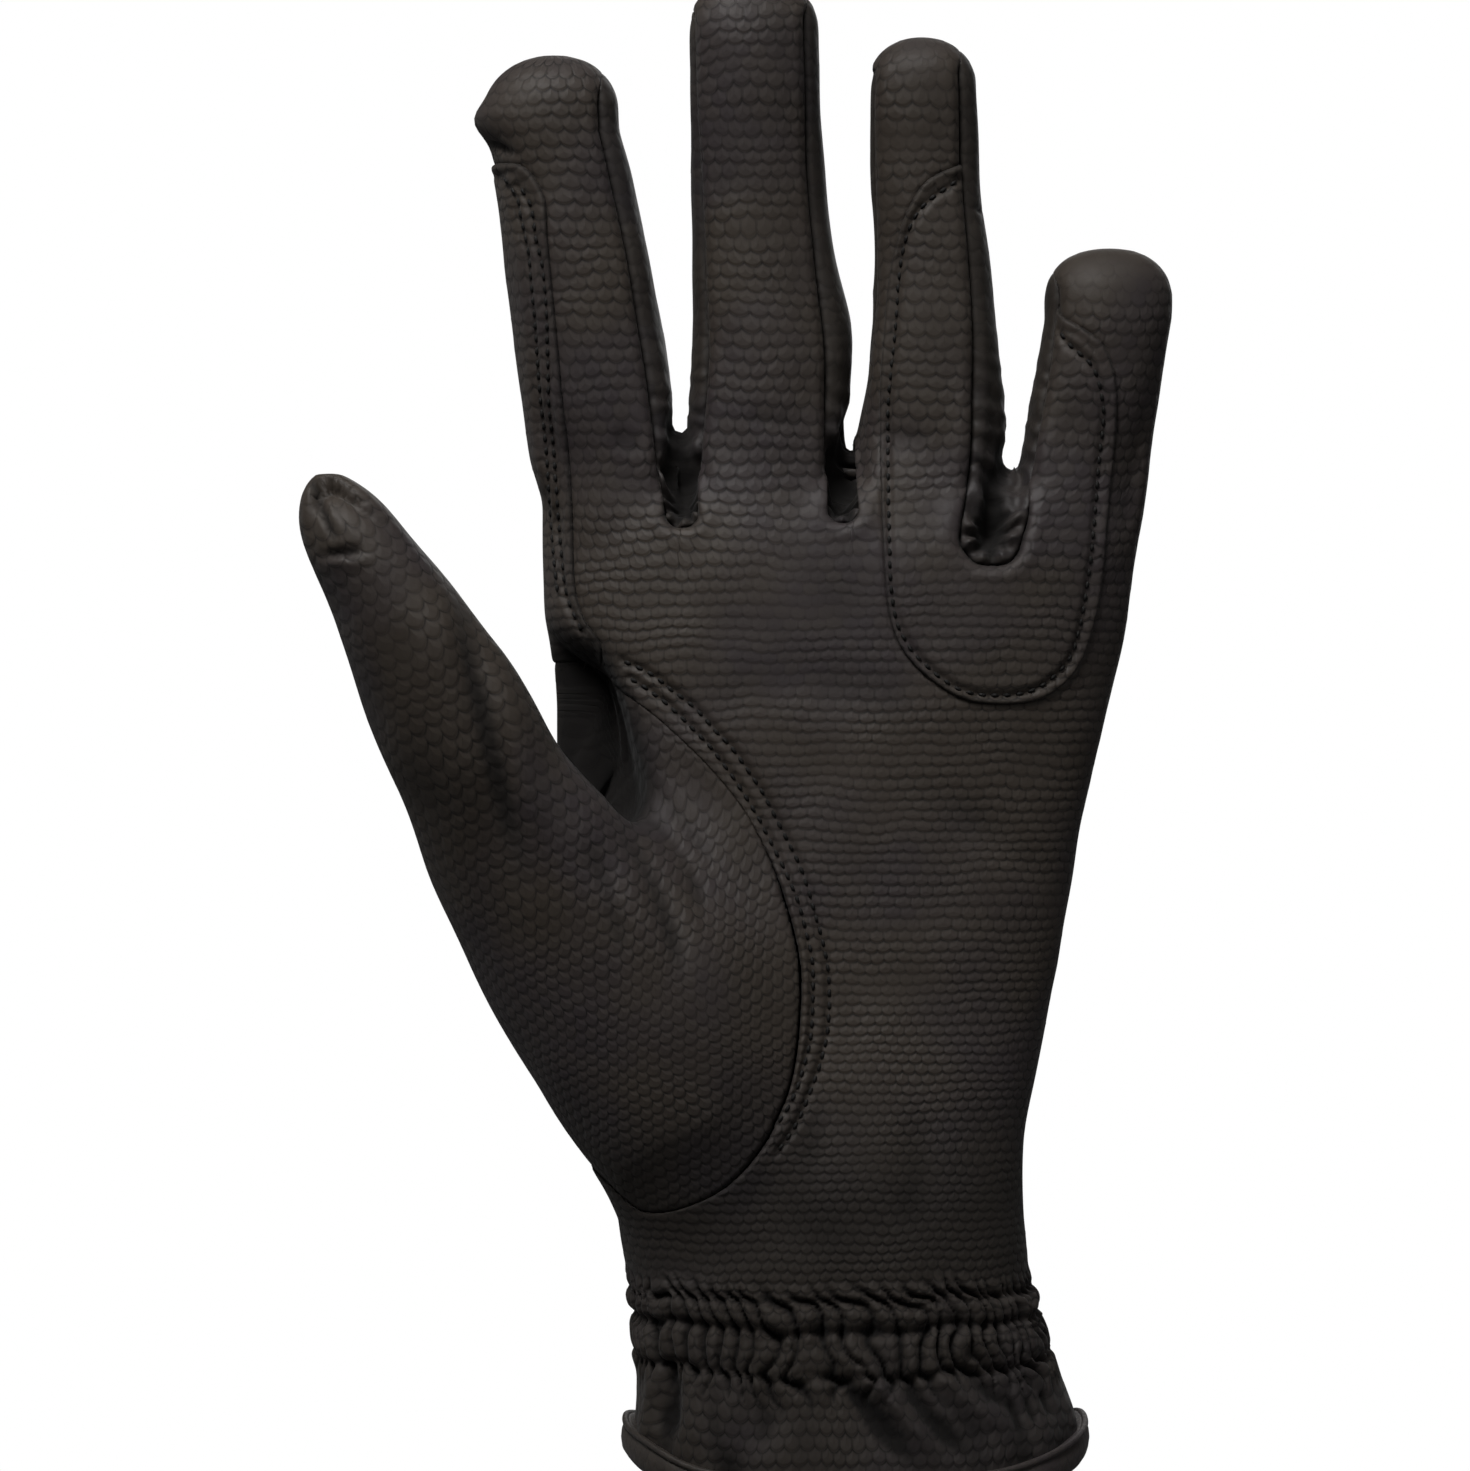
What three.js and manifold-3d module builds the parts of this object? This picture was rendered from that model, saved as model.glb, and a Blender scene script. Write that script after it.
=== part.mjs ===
import * as THREE from 'three';
import { mergeVertices } from 'three/addons/utils/BufferGeometryUtils.js';
import Module from 'manifold-3d';

const wasm = await Module();
wasm.setup();

// Left-hand riding glove in millimetres: fingers up +Z, palm towards -Y, thumb at -X.
// The origin is the middle of the cuff's mouth, level with the lowest point of the hem.

// Cuff and hand
const cuffHeight = 31.5;
const cuffWidth = 67;
const cuffDepth = 46;
const palmHeight = 123;
const palmWidth = 92;
const palmDepth = 27;
const palmSquareness = 2.5;
const plainSides = 22;

// Elastic gathers at the wrist
const gatherCount = 36;
const gatherDepth = 1.5;

// Fingers: length from the root line to the tip, width and depth at the root
const indexLength = 60.2;
const indexWidth = 22.8;
const indexDepth = 20.4;
const middleLength = 72.2;
const middleWidth = 24.4;
const middleDepth = 21.2;
const ringLength = 63;
const ringWidth = 23.2;
const ringDepth = 20.4;
const littleLength = 42.4;
const littleWidth = 20.8;
const littleDepth = 18.8;
const littleDrop = 10.5;
const rootOverlap = 26;
const footInset = 0.93;
const footWide = 0.6;
const fingerSides = 16;
const innerFingerSides = 12;
const fingerSquareness = 2.25;

// Thumb: rise from the wrist to the tip, spread from the middle of the cuff, reach forward
const thumbRise = 119.7;
const thumbSpread = 80.6;
const thumbReach = 31;
const thumbSides = 26;
const innerThumbSides = 14;
const innerTipRings = 4;
const thumbSquareness = 2.15;

// Leather, seams, patches and hem
const wall = 1.2;
const seamGap = 0.3;
const patchWall = 1;
const hemDip = 6;
const hemCurve = 1.5;
const hemBand = 5;
const hemWall = 1;
const hemClearance = 0.45;

// Reach of cutting shapes past the glove
const beyond = 2 * palmDepth;
const mouthDepth = 12;

const wristLine = cuffHeight;
const rootLine = cuffHeight + palmHeight;

// Cuff sections from the hem up: shares of cuffHeight, cuffWidth, cuffDepth and gatherDepth
const cuffSections = [
  { up: 0.00, left: -0.500, right: 0.500, front: -0.500, back: 0.500, fold: 0 },
  { up: 0.20, left: -0.500, right: 0.500, front: -0.500, back: 0.500, fold: 0 },
  { up: 0.37, left: -0.491, right: 0.475, front: -0.470, back: 0.465, fold: 0.75 },
  { up: 0.61, left: -0.495, right: 0.433, front: -0.420, back: 0.420, fold: 0.20 },
  { up: 0.72, left: -0.480, right: 0.400, front: -0.420, back: 0.420, fold: 1.00 },
  { up: 0.83, left: -0.494, right: 0.400, front: -0.405, back: 0.408, fold: 0.20 },
  { up: 0.92, left: -0.487, right: 0.380, front: -0.405, back: 0.408, fold: 1.00 },
  { up: 1.00, left: -0.506, right: 0.388, front: -0.400, back: 0.405, fold: 0.20 },
];

// Hand sections from the wrist up: shares of palmHeight, palmWidth and palmDepth
const palmSections = [
  { up: 0.035, left: -0.376, right: 0.280, front: -0.690, back: 0.690 },
  { up: 0.090, left: -0.386, right: 0.276, front: -0.670, back: 0.660 },
  { up: 0.170, left: -0.400, right: 0.278, front: -0.630, back: 0.610 },
  { up: 0.260, left: -0.424, right: 0.301, front: -0.585, back: 0.570 },
  { up: 0.400, left: -0.458, right: 0.336, front: -0.530, back: 0.530 },
  { up: 0.560, left: -0.485, right: 0.372, front: -0.500, back: 0.515 },
  { up: 0.720, left: -0.491, right: 0.420, front: -0.485, back: 0.505 },
  { up: 0.850, left: -0.497, right: 0.454, front: -0.465, back: 0.490 },
  { up: 0.955, left: -0.500, right: 0.468, front: -0.385, back: 0.410 },
  { up: 0.982, left: -0.470, right: 0.430, front: -0.230, back: 0.260 },
];

// Finger sections: up, lean (+X) and fore (-Y) are shares of the finger's length,
// wide and deep of its width and depth at the root
const indexSections = [
  { up: 0.00, lean: 0.010, fore: 0.000, wide: 0.955, deep: 1.00 },
  { up: 0.23, lean: -0.021, fore: 0.004, wide: 0.945, deep: 0.98 },
  { up: 0.46, lean: -0.060, fore: 0.018, wide: 0.925, deep: 0.94 },
  { up: 0.69, lean: -0.096, fore: 0.042, wide: 0.865, deep: 0.88 },
  { up: 0.82, lean: -0.132, fore: 0.066, wide: 0.87, deep: 0.82 },
];
const middleSections = [
  { up: 0.00, lean: 0.000, fore: 0.000, wide: 1.05, deep: 1.00 },
  { up: 0.20, lean: 0.010, fore: 0.003, wide: 0.955, deep: 0.97 },
  { up: 0.40, lean: -0.005, fore: 0.014, wide: 0.87, deep: 0.91 },
  { up: 0.62, lean: -0.020, fore: 0.036, wide: 0.817, deep: 0.84 },
  { up: 0.86, lean: -0.027, fore: 0.072, wide: 0.79, deep: 0.78 },
];
const ringSections = [
  { up: 0.00, lean: 0.000, fore: 0.000, wide: 1.05, deep: 1.00 },
  { up: 0.20, lean: 0.002, fore: 0.003, wide: 0.92, deep: 0.95 },
  { up: 0.40, lean: -0.002, fore: 0.014, wide: 0.805, deep: 0.87 },
  { up: 0.64, lean: -0.022, fore: 0.038, wide: 0.733, deep: 0.79 },
  { up: 0.86, lean: -0.031, fore: 0.070, wide: 0.685, deep: 0.73 },
];
const littleSections = [
  { up: 0.00, lean: 0.000, fore: 0.000, wide: 1.00, deep: 1.00 },
  { up: 0.28, lean: 0.044, fore: 0.006, wide: 0.985, deep: 0.98 },
  { up: 0.52, lean: 0.090, fore: 0.024, wide: 0.94, deep: 0.92 },
  { up: 0.74, lean: 0.122, fore: 0.052, wide: 0.915, deep: 0.85 },
];

// Roots of the fingers, as shares of palmWidth from the middle
const fingers = {
  index: {
    root: -0.405, drop: 0, length: indexLength, width: indexWidth, depth: indexDepth, sections: indexSections,
  },
  middle: {
    root: -0.146, drop: 0, length: middleLength, width: middleWidth, depth: middleDepth,
    sections: middleSections,
  },
  ring: {
    root: 0.127, drop: 0, length: ringLength, width: ringWidth, depth: ringDepth, sections: ringSections,
  },
  little: {
    root: 0.354, drop: littleDrop, length: littleLength, width: littleWidth, depth: littleDepth,
    sections: littleSections,
  },
};

// Rounded fingertips: height as a share of the half width, rings by angle up the quarter round
const tipShare = 0.82;
const tipRings = [26, 52, 74];

// Thumb sections: shares of thumbRise, thumbSpread and thumbReach
const thumbSections = [
  { up: 0.010, outer: -0.405, inner: -0.130, front: -0.480, back: 0.420 },
  { up: 0.100, outer: -0.450, inner: -0.090, front: -0.590, back: 0.380 },
  { up: 0.190, outer: -0.538, inner: -0.080, front: -0.690, back: 0.330 },
  { up: 0.300, outer: -0.637, inner: -0.090, front: -0.770, back: 0.270 },
  { up: 0.400, outer: -0.715, inner: -0.130, front: -0.810, back: 0.190 },
  { up: 0.500, outer: -0.776, inner: -0.200, front: -0.850, back: 0.090 },
  { up: 0.590, outer: -0.820, inner: -0.310, front: -0.920, back: -0.040 },
  { up: 0.660, outer: -0.862, inner: -0.490, front: -1.000, back: -0.200 },
  { up: 0.730, outer: -0.900, inner: -0.587, front: -1.060, back: -0.330 },
  { up: 0.820, outer: -0.943, inner: -0.677, front: -1.110, back: -0.420 },
  { up: 0.945, outer: -1.000, inner: -0.830, front: -1.110, back: -0.620 },
  { up: 0.975, outer: -0.992, inner: -0.880, front: -1.060, back: -0.720 },
  { up: 0.994, outer: -0.975, inner: -0.925, front: -0.980, back: -0.800 },
];

// Free gap between thumb and index finger, from above down to the crotch
const thumbGap = [
  { across: -0.640, up: 1.000 },
  { across: -0.590, up: 0.880 },
  { across: -0.535, up: 0.790 },
];

// Seam round the ball of the thumb, from the thumb's crotch down to the wrist's edge:
// shares of palmWidth across and of palmHeight up from the wrist
const thenarSeam = [
  { across: -0.515, up: 0.760 },
  { across: -0.380, up: 0.716 },
  { across: -0.270, up: 0.650 },
  { across: -0.178, up: 0.570 },
  { across: -0.118, up: 0.475 },
  { across: -0.088, up: 0.375 },
  { across: -0.096, up: 0.275 },
  { across: -0.140, up: 0.185 },
  { across: -0.225, up: 0.118 },
  { across: -0.335, up: 0.092 },
  { across: -0.410, up: 0.130 },
  { across: -0.520, up: 0.190 },
];

// Seam of the thumb at the back of the hand, from the same crotch to the same edge
const thumbBackSeam = [
  { across: -0.515, up: 0.760 },
  { across: -0.475, up: 0.640 },
  { across: -0.430, up: 0.450 },
  { across: -0.385, up: 0.280 },
  { across: -0.385, up: 0.180 },
  { across: -0.410, up: 0.130 },
  { across: -0.520, up: 0.190 },
];

// Split between palm and back: shares of palmHeight up and of palmDepth back
const sideSplit = [
  { up: -0.60, back: 0.10 },
  { up: 0.40, back: 0.10 },
  { up: 1.00, back: 0.13 },
  { up: 1.25, back: 0.08 },
  { up: 1.45, back: 0.00 },
  { up: 1.75, back: -0.10 },
];

// Depths of the crotches below the root line
const indexCrotchLow = 10.5;
const middleCrotchLow = 9.5;
const ringCrotchLow = 16.5;

// Side strips between fingers a and b: the seams lie at shares of each finger's half width, the loop
// of the crotch at a share of palmWidth, low below the root line, as wide as a share of palmWidth
const crotches = [
  { a: 'index', b: 'middle', aSeam: 0.68, bSeam: -0.77, at: -0.278, low: indexCrotchLow, loop: 0.021 },
  { a: 'middle', b: 'ring', aSeam: 0.76, bSeam: -0.88, at: -0.014, low: middleCrotchLow, loop: 0.014 },
  { a: 'ring', b: 'little', aSeam: 0.56, bSeam: -0.78, at: 0.217, low: ringCrotchLow, loop: 0.052 },
];

// Points along the smooth seam and patch lines
const thenarSteps = 26;
const thumbBackSteps = 12;
const indexPatchSteps = 22;
const ringPatchSteps = 34;

// Levels of a finger's seam as shares of its length, and angles round the loop of a crotch
const seamLevels = [0.02, 0.2, 0.4, 0.6, 0.8, 0.9];
const loopAngles = [180, 215, 250, 290, 325, 360];

// Inner edge of the index patch: shares of half indexWidth across from the finger's middle line,
// and of indexLength up from its root
const indexPatchEdge = [
  { across: -1.40, up: 0.750 },
  { across: -0.80, up: 0.728 },
  { across: -0.53, up: 0.712 },
  { across: -0.38, up: 0.669 },
  { across: -0.32, up: 0.617 },
  { across: -0.36, up: 0.530 },
  { across: -0.46, up: 0.300 },
  { across: -0.52, up: 0.147 },
  { across: -0.48, up: -0.100 },
  { across: -0.43, up: -0.330 },
  { across: -0.60, up: -0.385 },
  { across: -1.40, up: -0.400 },
];

// Outline of the ring and little patch: shares of palmWidth across, palmHeight up from the wrist
const ringPatchOutline = [
  { across: 0.185, up: 1.357 },
  { across: 0.105, up: 1.325 },
  { across: 0.060, up: 1.240 },
  { across: 0.048, up: 1.140 },
  { across: 0.038, up: 1.030 },
  { across: 0.044, up: 0.860 },
  { across: 0.060, up: 0.785 },
  { across: 0.110, up: 0.735 },
  { across: 0.190, up: 0.703 },
  { across: 0.276, up: 0.703 },
  { across: 0.352, up: 0.740 },
  { across: 0.388, up: 0.810 },
  { across: 0.406, up: 0.920 },
  { across: 0.420, up: 1.060 },
  { across: 0.400, up: 1.130 },
  { across: 0.330, up: 1.172 },
];

// Colours and finishes
const leatherLook = { color: 0x26221f, roughness: 0.55, metalness: 0 };
const stripLook = { color: 0x1b1817, roughness: 0.6, metalness: 0 };
const trimLook = { color: 0x151312, roughness: 0.5, metalness: 0 };

// One closed skin through rings, from the lowest to the highest; a ring may have half the points
// of the one below
function skinThrough(rings) {
  const points = rings.flat();
  const faces = [];
  let low = 0;
  for (let level = 0; level + 1 < rings.length; level += 1) {
    const lowCount = rings[level].length;
    const highCount = rings[level + 1].length;
    const high = low + lowCount;
    const step = lowCount / highCount;
    for (let i = 0; i < highCount; i += 1) {
      const c = high + i;
      const d = high + ((i + 1) % highCount);
      const a = low + i * step;
      const b = low + (i * step + 1) % lowCount;
      faces.push(a, b, c, b, d, c);
      if (step > 1) {
        faces.push(b, low + ((i + 1) * step) % lowCount, d);
      }
    }
    low = high;
  }
  capRing(points, faces, rings[0], 0, false);
  capRing(points, faces, rings[rings.length - 1], low, true);
  return solidFrom(points, faces);
}

function capRing(points, faces, ring, first, upwards) {
  const centre = points.length;
  points.push(middleOf(ring));
  for (let i = 0; i < ring.length; i += 1) {
    const here = first + i;
    const next = first + ((i + 1) % ring.length);
    faces.push(centre, upwards ? here : next, upwards ? next : here);
  }
}

function middleOf(ring) {
  const middle = new THREE.Vector3();
  ring.forEach((point) => middle.add(point));
  return middle.divideScalar(ring.length);
}

function solidFrom(points, faces) {
  const vertProperties = new Float32Array(points.flatMap((p) => [p.x, p.y, p.z]));
  return new wasm.Manifold(new wasm.Mesh({ numProp: 3, vertProperties, triVerts: new Uint32Array(faces) }));
}

// Rounded-square curve of one section at an angle, from -1 to 1 each way
function roundSquare(angle, squareness) {
  const bend = (value) => Math.sign(value) * Math.abs(value) ** (2 / squareness);
  return { x: bend(Math.cos(angle)), y: bend(Math.sin(angle)) };
}

// The sides of the hem stand higher than its front and back
function hemLift(angle, height) {
  const fade = Math.max(0, 1 - height / wristLine);
  return hemDip * (1 - Math.abs(Math.sin(angle)) ** hemCurve) * fade;
}

// Cuff and hand, thicker or thinner by grow; gathered is 1 with the puckers, 0 without
function handRings(grow, gathered, floor) {
  const cuff = cuffSections.map((row, level) => ({
    ...cuffRow(row),
    z: level === 0 ? floor : row.up * cuffHeight,
    turn: level % 4 > 1 ? 1 : 0,
    sides: gathered ? 2 * gatherCount : plainSides,
  }));
  const palm = palmSections.map((row) => ({
    z: wristLine + row.up * palmHeight,
    left: row.left * palmWidth,
    right: row.right * palmWidth,
    front: row.front * palmDepth,
    back: row.back * palmDepth,
    fold: 0,
    turn: 0,
    sides: gathered ? gatherCount : plainSides,
  }));
  const rows = [...cuff, ...palm];
  rows[rows.length - 1].z += grow;
  return rows.map((row) => ringOf(row, row.sides, palmSquareness, (i, angle) => ({
    out: grow + gathered * gatherDepth * row.fold * ((i + row.turn) % 2),
    lift: hemLift(angle, row.z),
  })));
}

function cuffRow(row) {
  return {
    left: row.left * cuffWidth,
    right: row.right * cuffWidth,
    front: row.front * cuffDepth,
    back: row.back * cuffDepth,
    fold: row.fold,
  };
}

function ringOf(row, sides, squareness, change) {
  return Array.from({ length: sides }, (_, i) => {
    const angle = (2 * Math.PI * i) / sides;
    const { out, lift } = change(i, angle);
    const unit = roundSquare(angle, squareness);
    return new THREE.Vector3(
      (row.left + row.right) / 2 + unit.x * ((row.right - row.left) / 2 + out),
      (row.front + row.back) / 2 + unit.y * ((row.back - row.front) / 2 + out),
      row.z + lift,
    );
  });
}

// Middle and half sizes of a finger at a share of its length, between the rows of its table
function fingerAt(finger, up) {
  const rows = finger.sections;
  const last = rows.length - 1;
  const next = rows.findIndex((row) => row.up > up);
  const above = next < 0 ? last : Math.max(next, 1);
  const low = rows[above - 1];
  const high = rows[above];
  const k = THREE.MathUtils.clamp((up - low.up) / (high.up - low.up), 0, 1);
  const mix = (name) => THREE.MathUtils.lerp(low[name], high[name], k);
  return {
    x: finger.root * palmWidth + mix('lean') * finger.length,
    y: -mix('fore') * finger.length,
    z: rootLine - finger.drop + up * finger.length,
    halfWidth: (mix('wide') * finger.width) / 2,
    halfDepth: (mix('deep') * finger.depth) / 2,
  };
}

function fingerRings(finger, grow) {
  const foot = fingerAt(finger, -rootOverlap / finger.length);
  foot.x *= footInset;
  const rings = [fingerRing(foot, footWide, 0, grow)];
  finger.sections.forEach((row) => rings.push(fingerRing(fingerAt(finger, row.up), 1, 0, grow)));
  const end = fingerAt(finger, finger.sections[finger.sections.length - 1].up);
  const tip = fingerAt(finger, 1);
  const tipHeight = Math.min(tipShare * end.halfWidth, (tip.z - end.z) * tipShare);
  const round = { ...end, y: tip.y, z: tip.z - tipHeight };
  tipRings.forEach((degrees) => {
    const turn = THREE.MathUtils.degToRad(degrees);
    rings.push(fingerRing(round, Math.cos(turn), Math.sin(turn) * (tipHeight + grow), grow));
  });
  return rings;
}

function fingerRing(place, shrink, rise, grow) {
  const sides = grow < 0 ? innerFingerSides : fingerSides;
  return Array.from({ length: sides }, (_, i) => {
    const unit = roundSquare((2 * Math.PI * i) / sides, fingerSquareness);
    return new THREE.Vector3(
      place.x + unit.x * (place.halfWidth + grow) * shrink,
      place.y + unit.y * (place.halfDepth + grow) * shrink,
      place.z + rise,
    );
  });
}

function thumbRings(grow) {
  const last = thumbSections.length - 1;
  return thumbSections.map((row, level) => {
    const tight = grow < 0 ? Math.min(1, (last - level + 1) / innerTipRings) : 1;
    const place = {
      z: wristLine + row.up * thumbRise + (level === last ? grow : 0),
      left: row.outer * thumbSpread,
      right: row.inner * thumbSpread,
      front: row.front * thumbReach,
      back: row.back * thumbReach,
    };
    const sides = grow < 0 ? innerThumbSides : thumbSides;
    return ringOf(place, sides, thumbSquareness, () => ({ out: grow * tight, lift: 0 }));
  });
}

// The whole hand form, thicker or thinner by grow
function gloveForm(grow, gathered, floor) {
  let form = skinThrough(handRings(grow, gathered, floor));
  Object.values(fingers).forEach((finger) => {
    form = form.add(skinThrough(fingerRings(finger, grow)));
  });
  return form.add(skinThrough(thumbRings(grow)));
}

// Upright prism over an outline in X and Z, between two depths
function prismFront(outline, front, back) {
  const shape = new THREE.Shape(outline.map((p) => new THREE.Vector2(p.x, p.z)));
  const geometry = new THREE.ExtrudeGeometry(shape, { depth: back - front, bevelEnabled: false, steps: 1 });
  geometry.rotateX(Math.PI / 2);
  geometry.translate(0, back, 0);
  return solidOf(geometry);
}

// Lying prism over an outline in Y and Z, across the whole glove
function prismSide(outline) {
  const shape = new THREE.Shape(outline.map((p) => new THREE.Vector2(p.y, p.z)));
  const width = 2 * (thumbSpread + beyond);
  const geometry = new THREE.ExtrudeGeometry(shape, { depth: width, bevelEnabled: false, steps: 1 });
  geometry.rotateX(Math.PI / 2);
  geometry.rotateZ(Math.PI / 2);
  geometry.translate(-width / 2, 0, 0);
  return solidOf(geometry);
}

function solidOf(geometry) {
  geometry.deleteAttribute('normal');
  geometry.deleteAttribute('uv');
  const merged = mergeVertices(geometry, 1e-4);
  const triVerts = new Uint32Array(merged.index.array);
  const vertProperties = new Float32Array(merged.attributes.position.array);
  return new wasm.Manifold(new wasm.Mesh({ numProp: 3, vertProperties, triVerts }));
}

// Thin ribbon that follows a line, half a seam gap to each side
function ribbonAlong(line) {
  const sides = [1, -1].map((side) => line.map((p, i) => {
    const from = line[Math.max(0, i - 1)];
    const to = line[Math.min(line.length - 1, i + 1)];
    const length = Math.hypot(to.x - from.x, to.z - from.z);
    const out = (side * seamGap) / 2 / length;
    return { x: p.x - (to.z - from.z) * out, z: p.z + (to.x - from.x) * out };
  }));
  return [...sides[0], ...sides[1].reverse()];
}

// Smooth line through the rows of a seam table
function smoothLine(rows, place, steps) {
  const curve = new THREE.SplineCurve(rows.map((row) => {
    const p = place(row);
    return new THREE.Vector2(p.x, p.z);
  }));
  return curve.getPoints(steps).map((p) => ({ x: p.x, z: p.y }));
}

const onPalm = (row) => ({ x: row.across * palmWidth, z: wristLine + row.up * palmHeight });
const frontMost = -thumbReach - beyond;
const backMost = palmDepth + beyond;

// Everything behind the split between palm and back, moved forward or back by shift
function behindSplit(shift) {
  const line = sideSplit.map((row) => ({
    y: row.back * palmDepth + shift,
    z: wristLine + row.up * palmHeight,
  }));
  const top = line[line.length - 1].z + beyond;
  return prismSide([
    { y: line[0].y, z: line[0].z - beyond },
    ...line,
    { y: line[line.length - 1].y, z: top },
    { y: backMost, z: top },
    { y: backMost, z: line[0].z - beyond },
  ]);
}

// Line of a finger's front seam, from its root up past its tip
function fingerSeam(finger, share) {
  const line = seamLevels.map((up) => {
    const place = fingerAt(finger, up);
    return { x: place.x + share * place.halfWidth, z: place.z };
  });
  const end = line[line.length - 1];
  line.push({ x: end.x, z: rootLine + finger.length + beyond });
  return line;
}

// Seam line round one crotch: down one finger, round the loop and up the other
function crotchLine(crotch) {
  const down = fingerSeam(fingers[crotch.a], crotch.aSeam).reverse();
  const up = fingerSeam(fingers[crotch.b], crotch.bSeam);
  const middle = crotch.at * palmWidth;
  const radius = crotch.loop * palmWidth;
  const low = rootLine - crotch.low;
  const loop = loopAngles.map((degrees) => {
    const turn = THREE.MathUtils.degToRad(degrees);
    return { x: middle + radius * Math.cos(turn), z: low + radius + radius * Math.sin(turn) };
  });
  return [...down, ...loop, ...up];
}

const thenarLine = smoothLine(thenarSeam, onPalm, thenarSteps);
const thumbBackLine = smoothLine(thumbBackSeam, onPalm, thumbBackSteps);
const farLeft = -thumbSpread - beyond;
const farUp = rootLine + middleLength + beyond;

// Outline of all that lies on the thumb's side of a seam line
function thumbSide(line) {
  const gap = thumbGap.map(onPalm);
  return [
    { x: farLeft, z: farUp },
    { x: gap[0].x, z: farUp },
    ...gap,
    ...line,
    { x: farLeft, z: line[line.length - 1].z },
  ];
}

const outerForm = gloveForm(0, 1, hemWall + hemClearance);
const innerForm = gloveForm(-wall, 0, -mouthDepth);
const coverForm = gloveForm(seamGap, 1, hemWall + hemClearance);
const back = behindSplit(0);
const across = (line) => prismFront(line, frontMost, backMost);

const thumbFront = across(thumbSide(thenarLine));
const thumbBack = across(thumbSide(thumbBackLine));
const strips = crotches.map((crotch) => across(crotchLine(crotch)));

// Narrow gaps along every seam
const kerfs = [
  across(ribbonAlong(thenarLine)).subtract(back),
  across(ribbonAlong(thumbBackLine)).intersect(back),
  ...crotches.map((crotch) => across(ribbonAlong(crotchLine(crotch))).subtract(back)),
  behindSplit(-seamGap / 2).subtract(behindSplit(seamGap / 2)).subtract(thumbBack),
];
const shell = kerfs.reduce((rest, kerf) => rest.subtract(kerf), outerForm.subtract(innerForm));
const frontShell = shell.subtract(back);

function palmPanel() {
  return strips.reduce((rest, strip) => rest.subtract(strip), frontShell.subtract(thumbFront));
}

function backPanel() {
  return shell.intersect(back).subtract(thumbBack);
}

function thumbPanel() {
  return shell.intersect(thumbFront).subtract(back.subtract(thumbBack));
}

// A patch lies on the leather with a seam's gap, over the named fingers and the hand
function patchOn(names, outline) {
  const thick = seamGap + patchWall;
  const skins = names.map((name) => skinThrough(fingerRings(fingers[name], thick)));
  const hand = skinThrough(handRings(thick, 1, hemWall + hemClearance));
  const form = skins.reduce((all, skin) => all.add(skin), hand);
  return form.intersect(across(outline)).subtract(coverForm).subtract(behindSplit(-seamGap));
}

function indexPatch() {
  const edge = smoothLine(indexPatchEdge, (row) => {
    const place = fingerAt(fingers.index, row.up);
    return { x: place.x + (row.across * indexWidth) / 2, z: place.z };
  }, indexPatchSteps);
  return patchOn(['index'], edge);
}

function ringLittlePatch() {
  const clear = across(ribbonAlong(crotchLine(crotches[2])));
  const outline = smoothLine(ringPatchOutline, onPalm, ringPatchSteps);
  return patchOn(['ring', 'little'], outline).subtract(strips[2]).subtract(clear);
}

// Hem ring: a folded band round the mouth with a groove that holds the edge of the wall
function hemBinding() {
  const band = (grow, low, high) => skinThrough([low, high].map((z) => {
    const row = { ...cuffRow(cuffSections[0]), z };
    const change = (_, angle) => ({ out: grow, lift: hemLift(angle, z) });
    return ringOf(row, gatherCount, palmSquareness, change);
  }));
  const high = 2 * cuffHeight;
  const inside = -wall - hemClearance;
  const groove = band(hemClearance, hemWall, cuffHeight).subtract(band(inside, -mouthDepth, high));
  const mouth = band(inside - hemWall, -mouthDepth, high);
  return band(hemClearance + hemWall, 0, hemBand).subtract(mouth).subtract(groove);
}

const pieces = [
  { name: 'palm_panel', body: palmPanel(), look: leatherLook },
  { name: 'back_panel', body: backPanel(), look: leatherLook },
  { name: 'thumb_panel', body: thumbPanel(), look: leatherLook },
  ...crotches.map(({ a, b }, i) => ({
    name: `fourchette_${a}_${b}`,
    body: frontShell.intersect(strips[i]),
    look: stripLook,
  })),
  { name: 'index_patch', body: indexPatch(), look: leatherLook },
  { name: 'ring_little_patch', body: ringLittlePatch(), look: leatherLook },
  { name: 'hem_binding', body: hemBinding(), look: trimLook },
];

const glove = new THREE.Group();
pieces.forEach(({ name, body, look }) => {
  const { vertProperties, triVerts } = body.getMesh();
  const geometry = new THREE.BufferGeometry();
  geometry.setAttribute('position', new THREE.BufferAttribute(vertProperties, 3));
  geometry.setIndex(new THREE.BufferAttribute(triVerts, 1));
  geometry.computeVertexNormals();
  const mesh = new THREE.Mesh(geometry, new THREE.MeshStandardMaterial(look));
  mesh.name = name;
  glove.add(mesh);
});

export default glove;
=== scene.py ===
import math

import bpy
import numpy as np
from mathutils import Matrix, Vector
from mathutils.bvhtree import BVHTree
from mathutils.kdtree import KDTree


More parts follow.
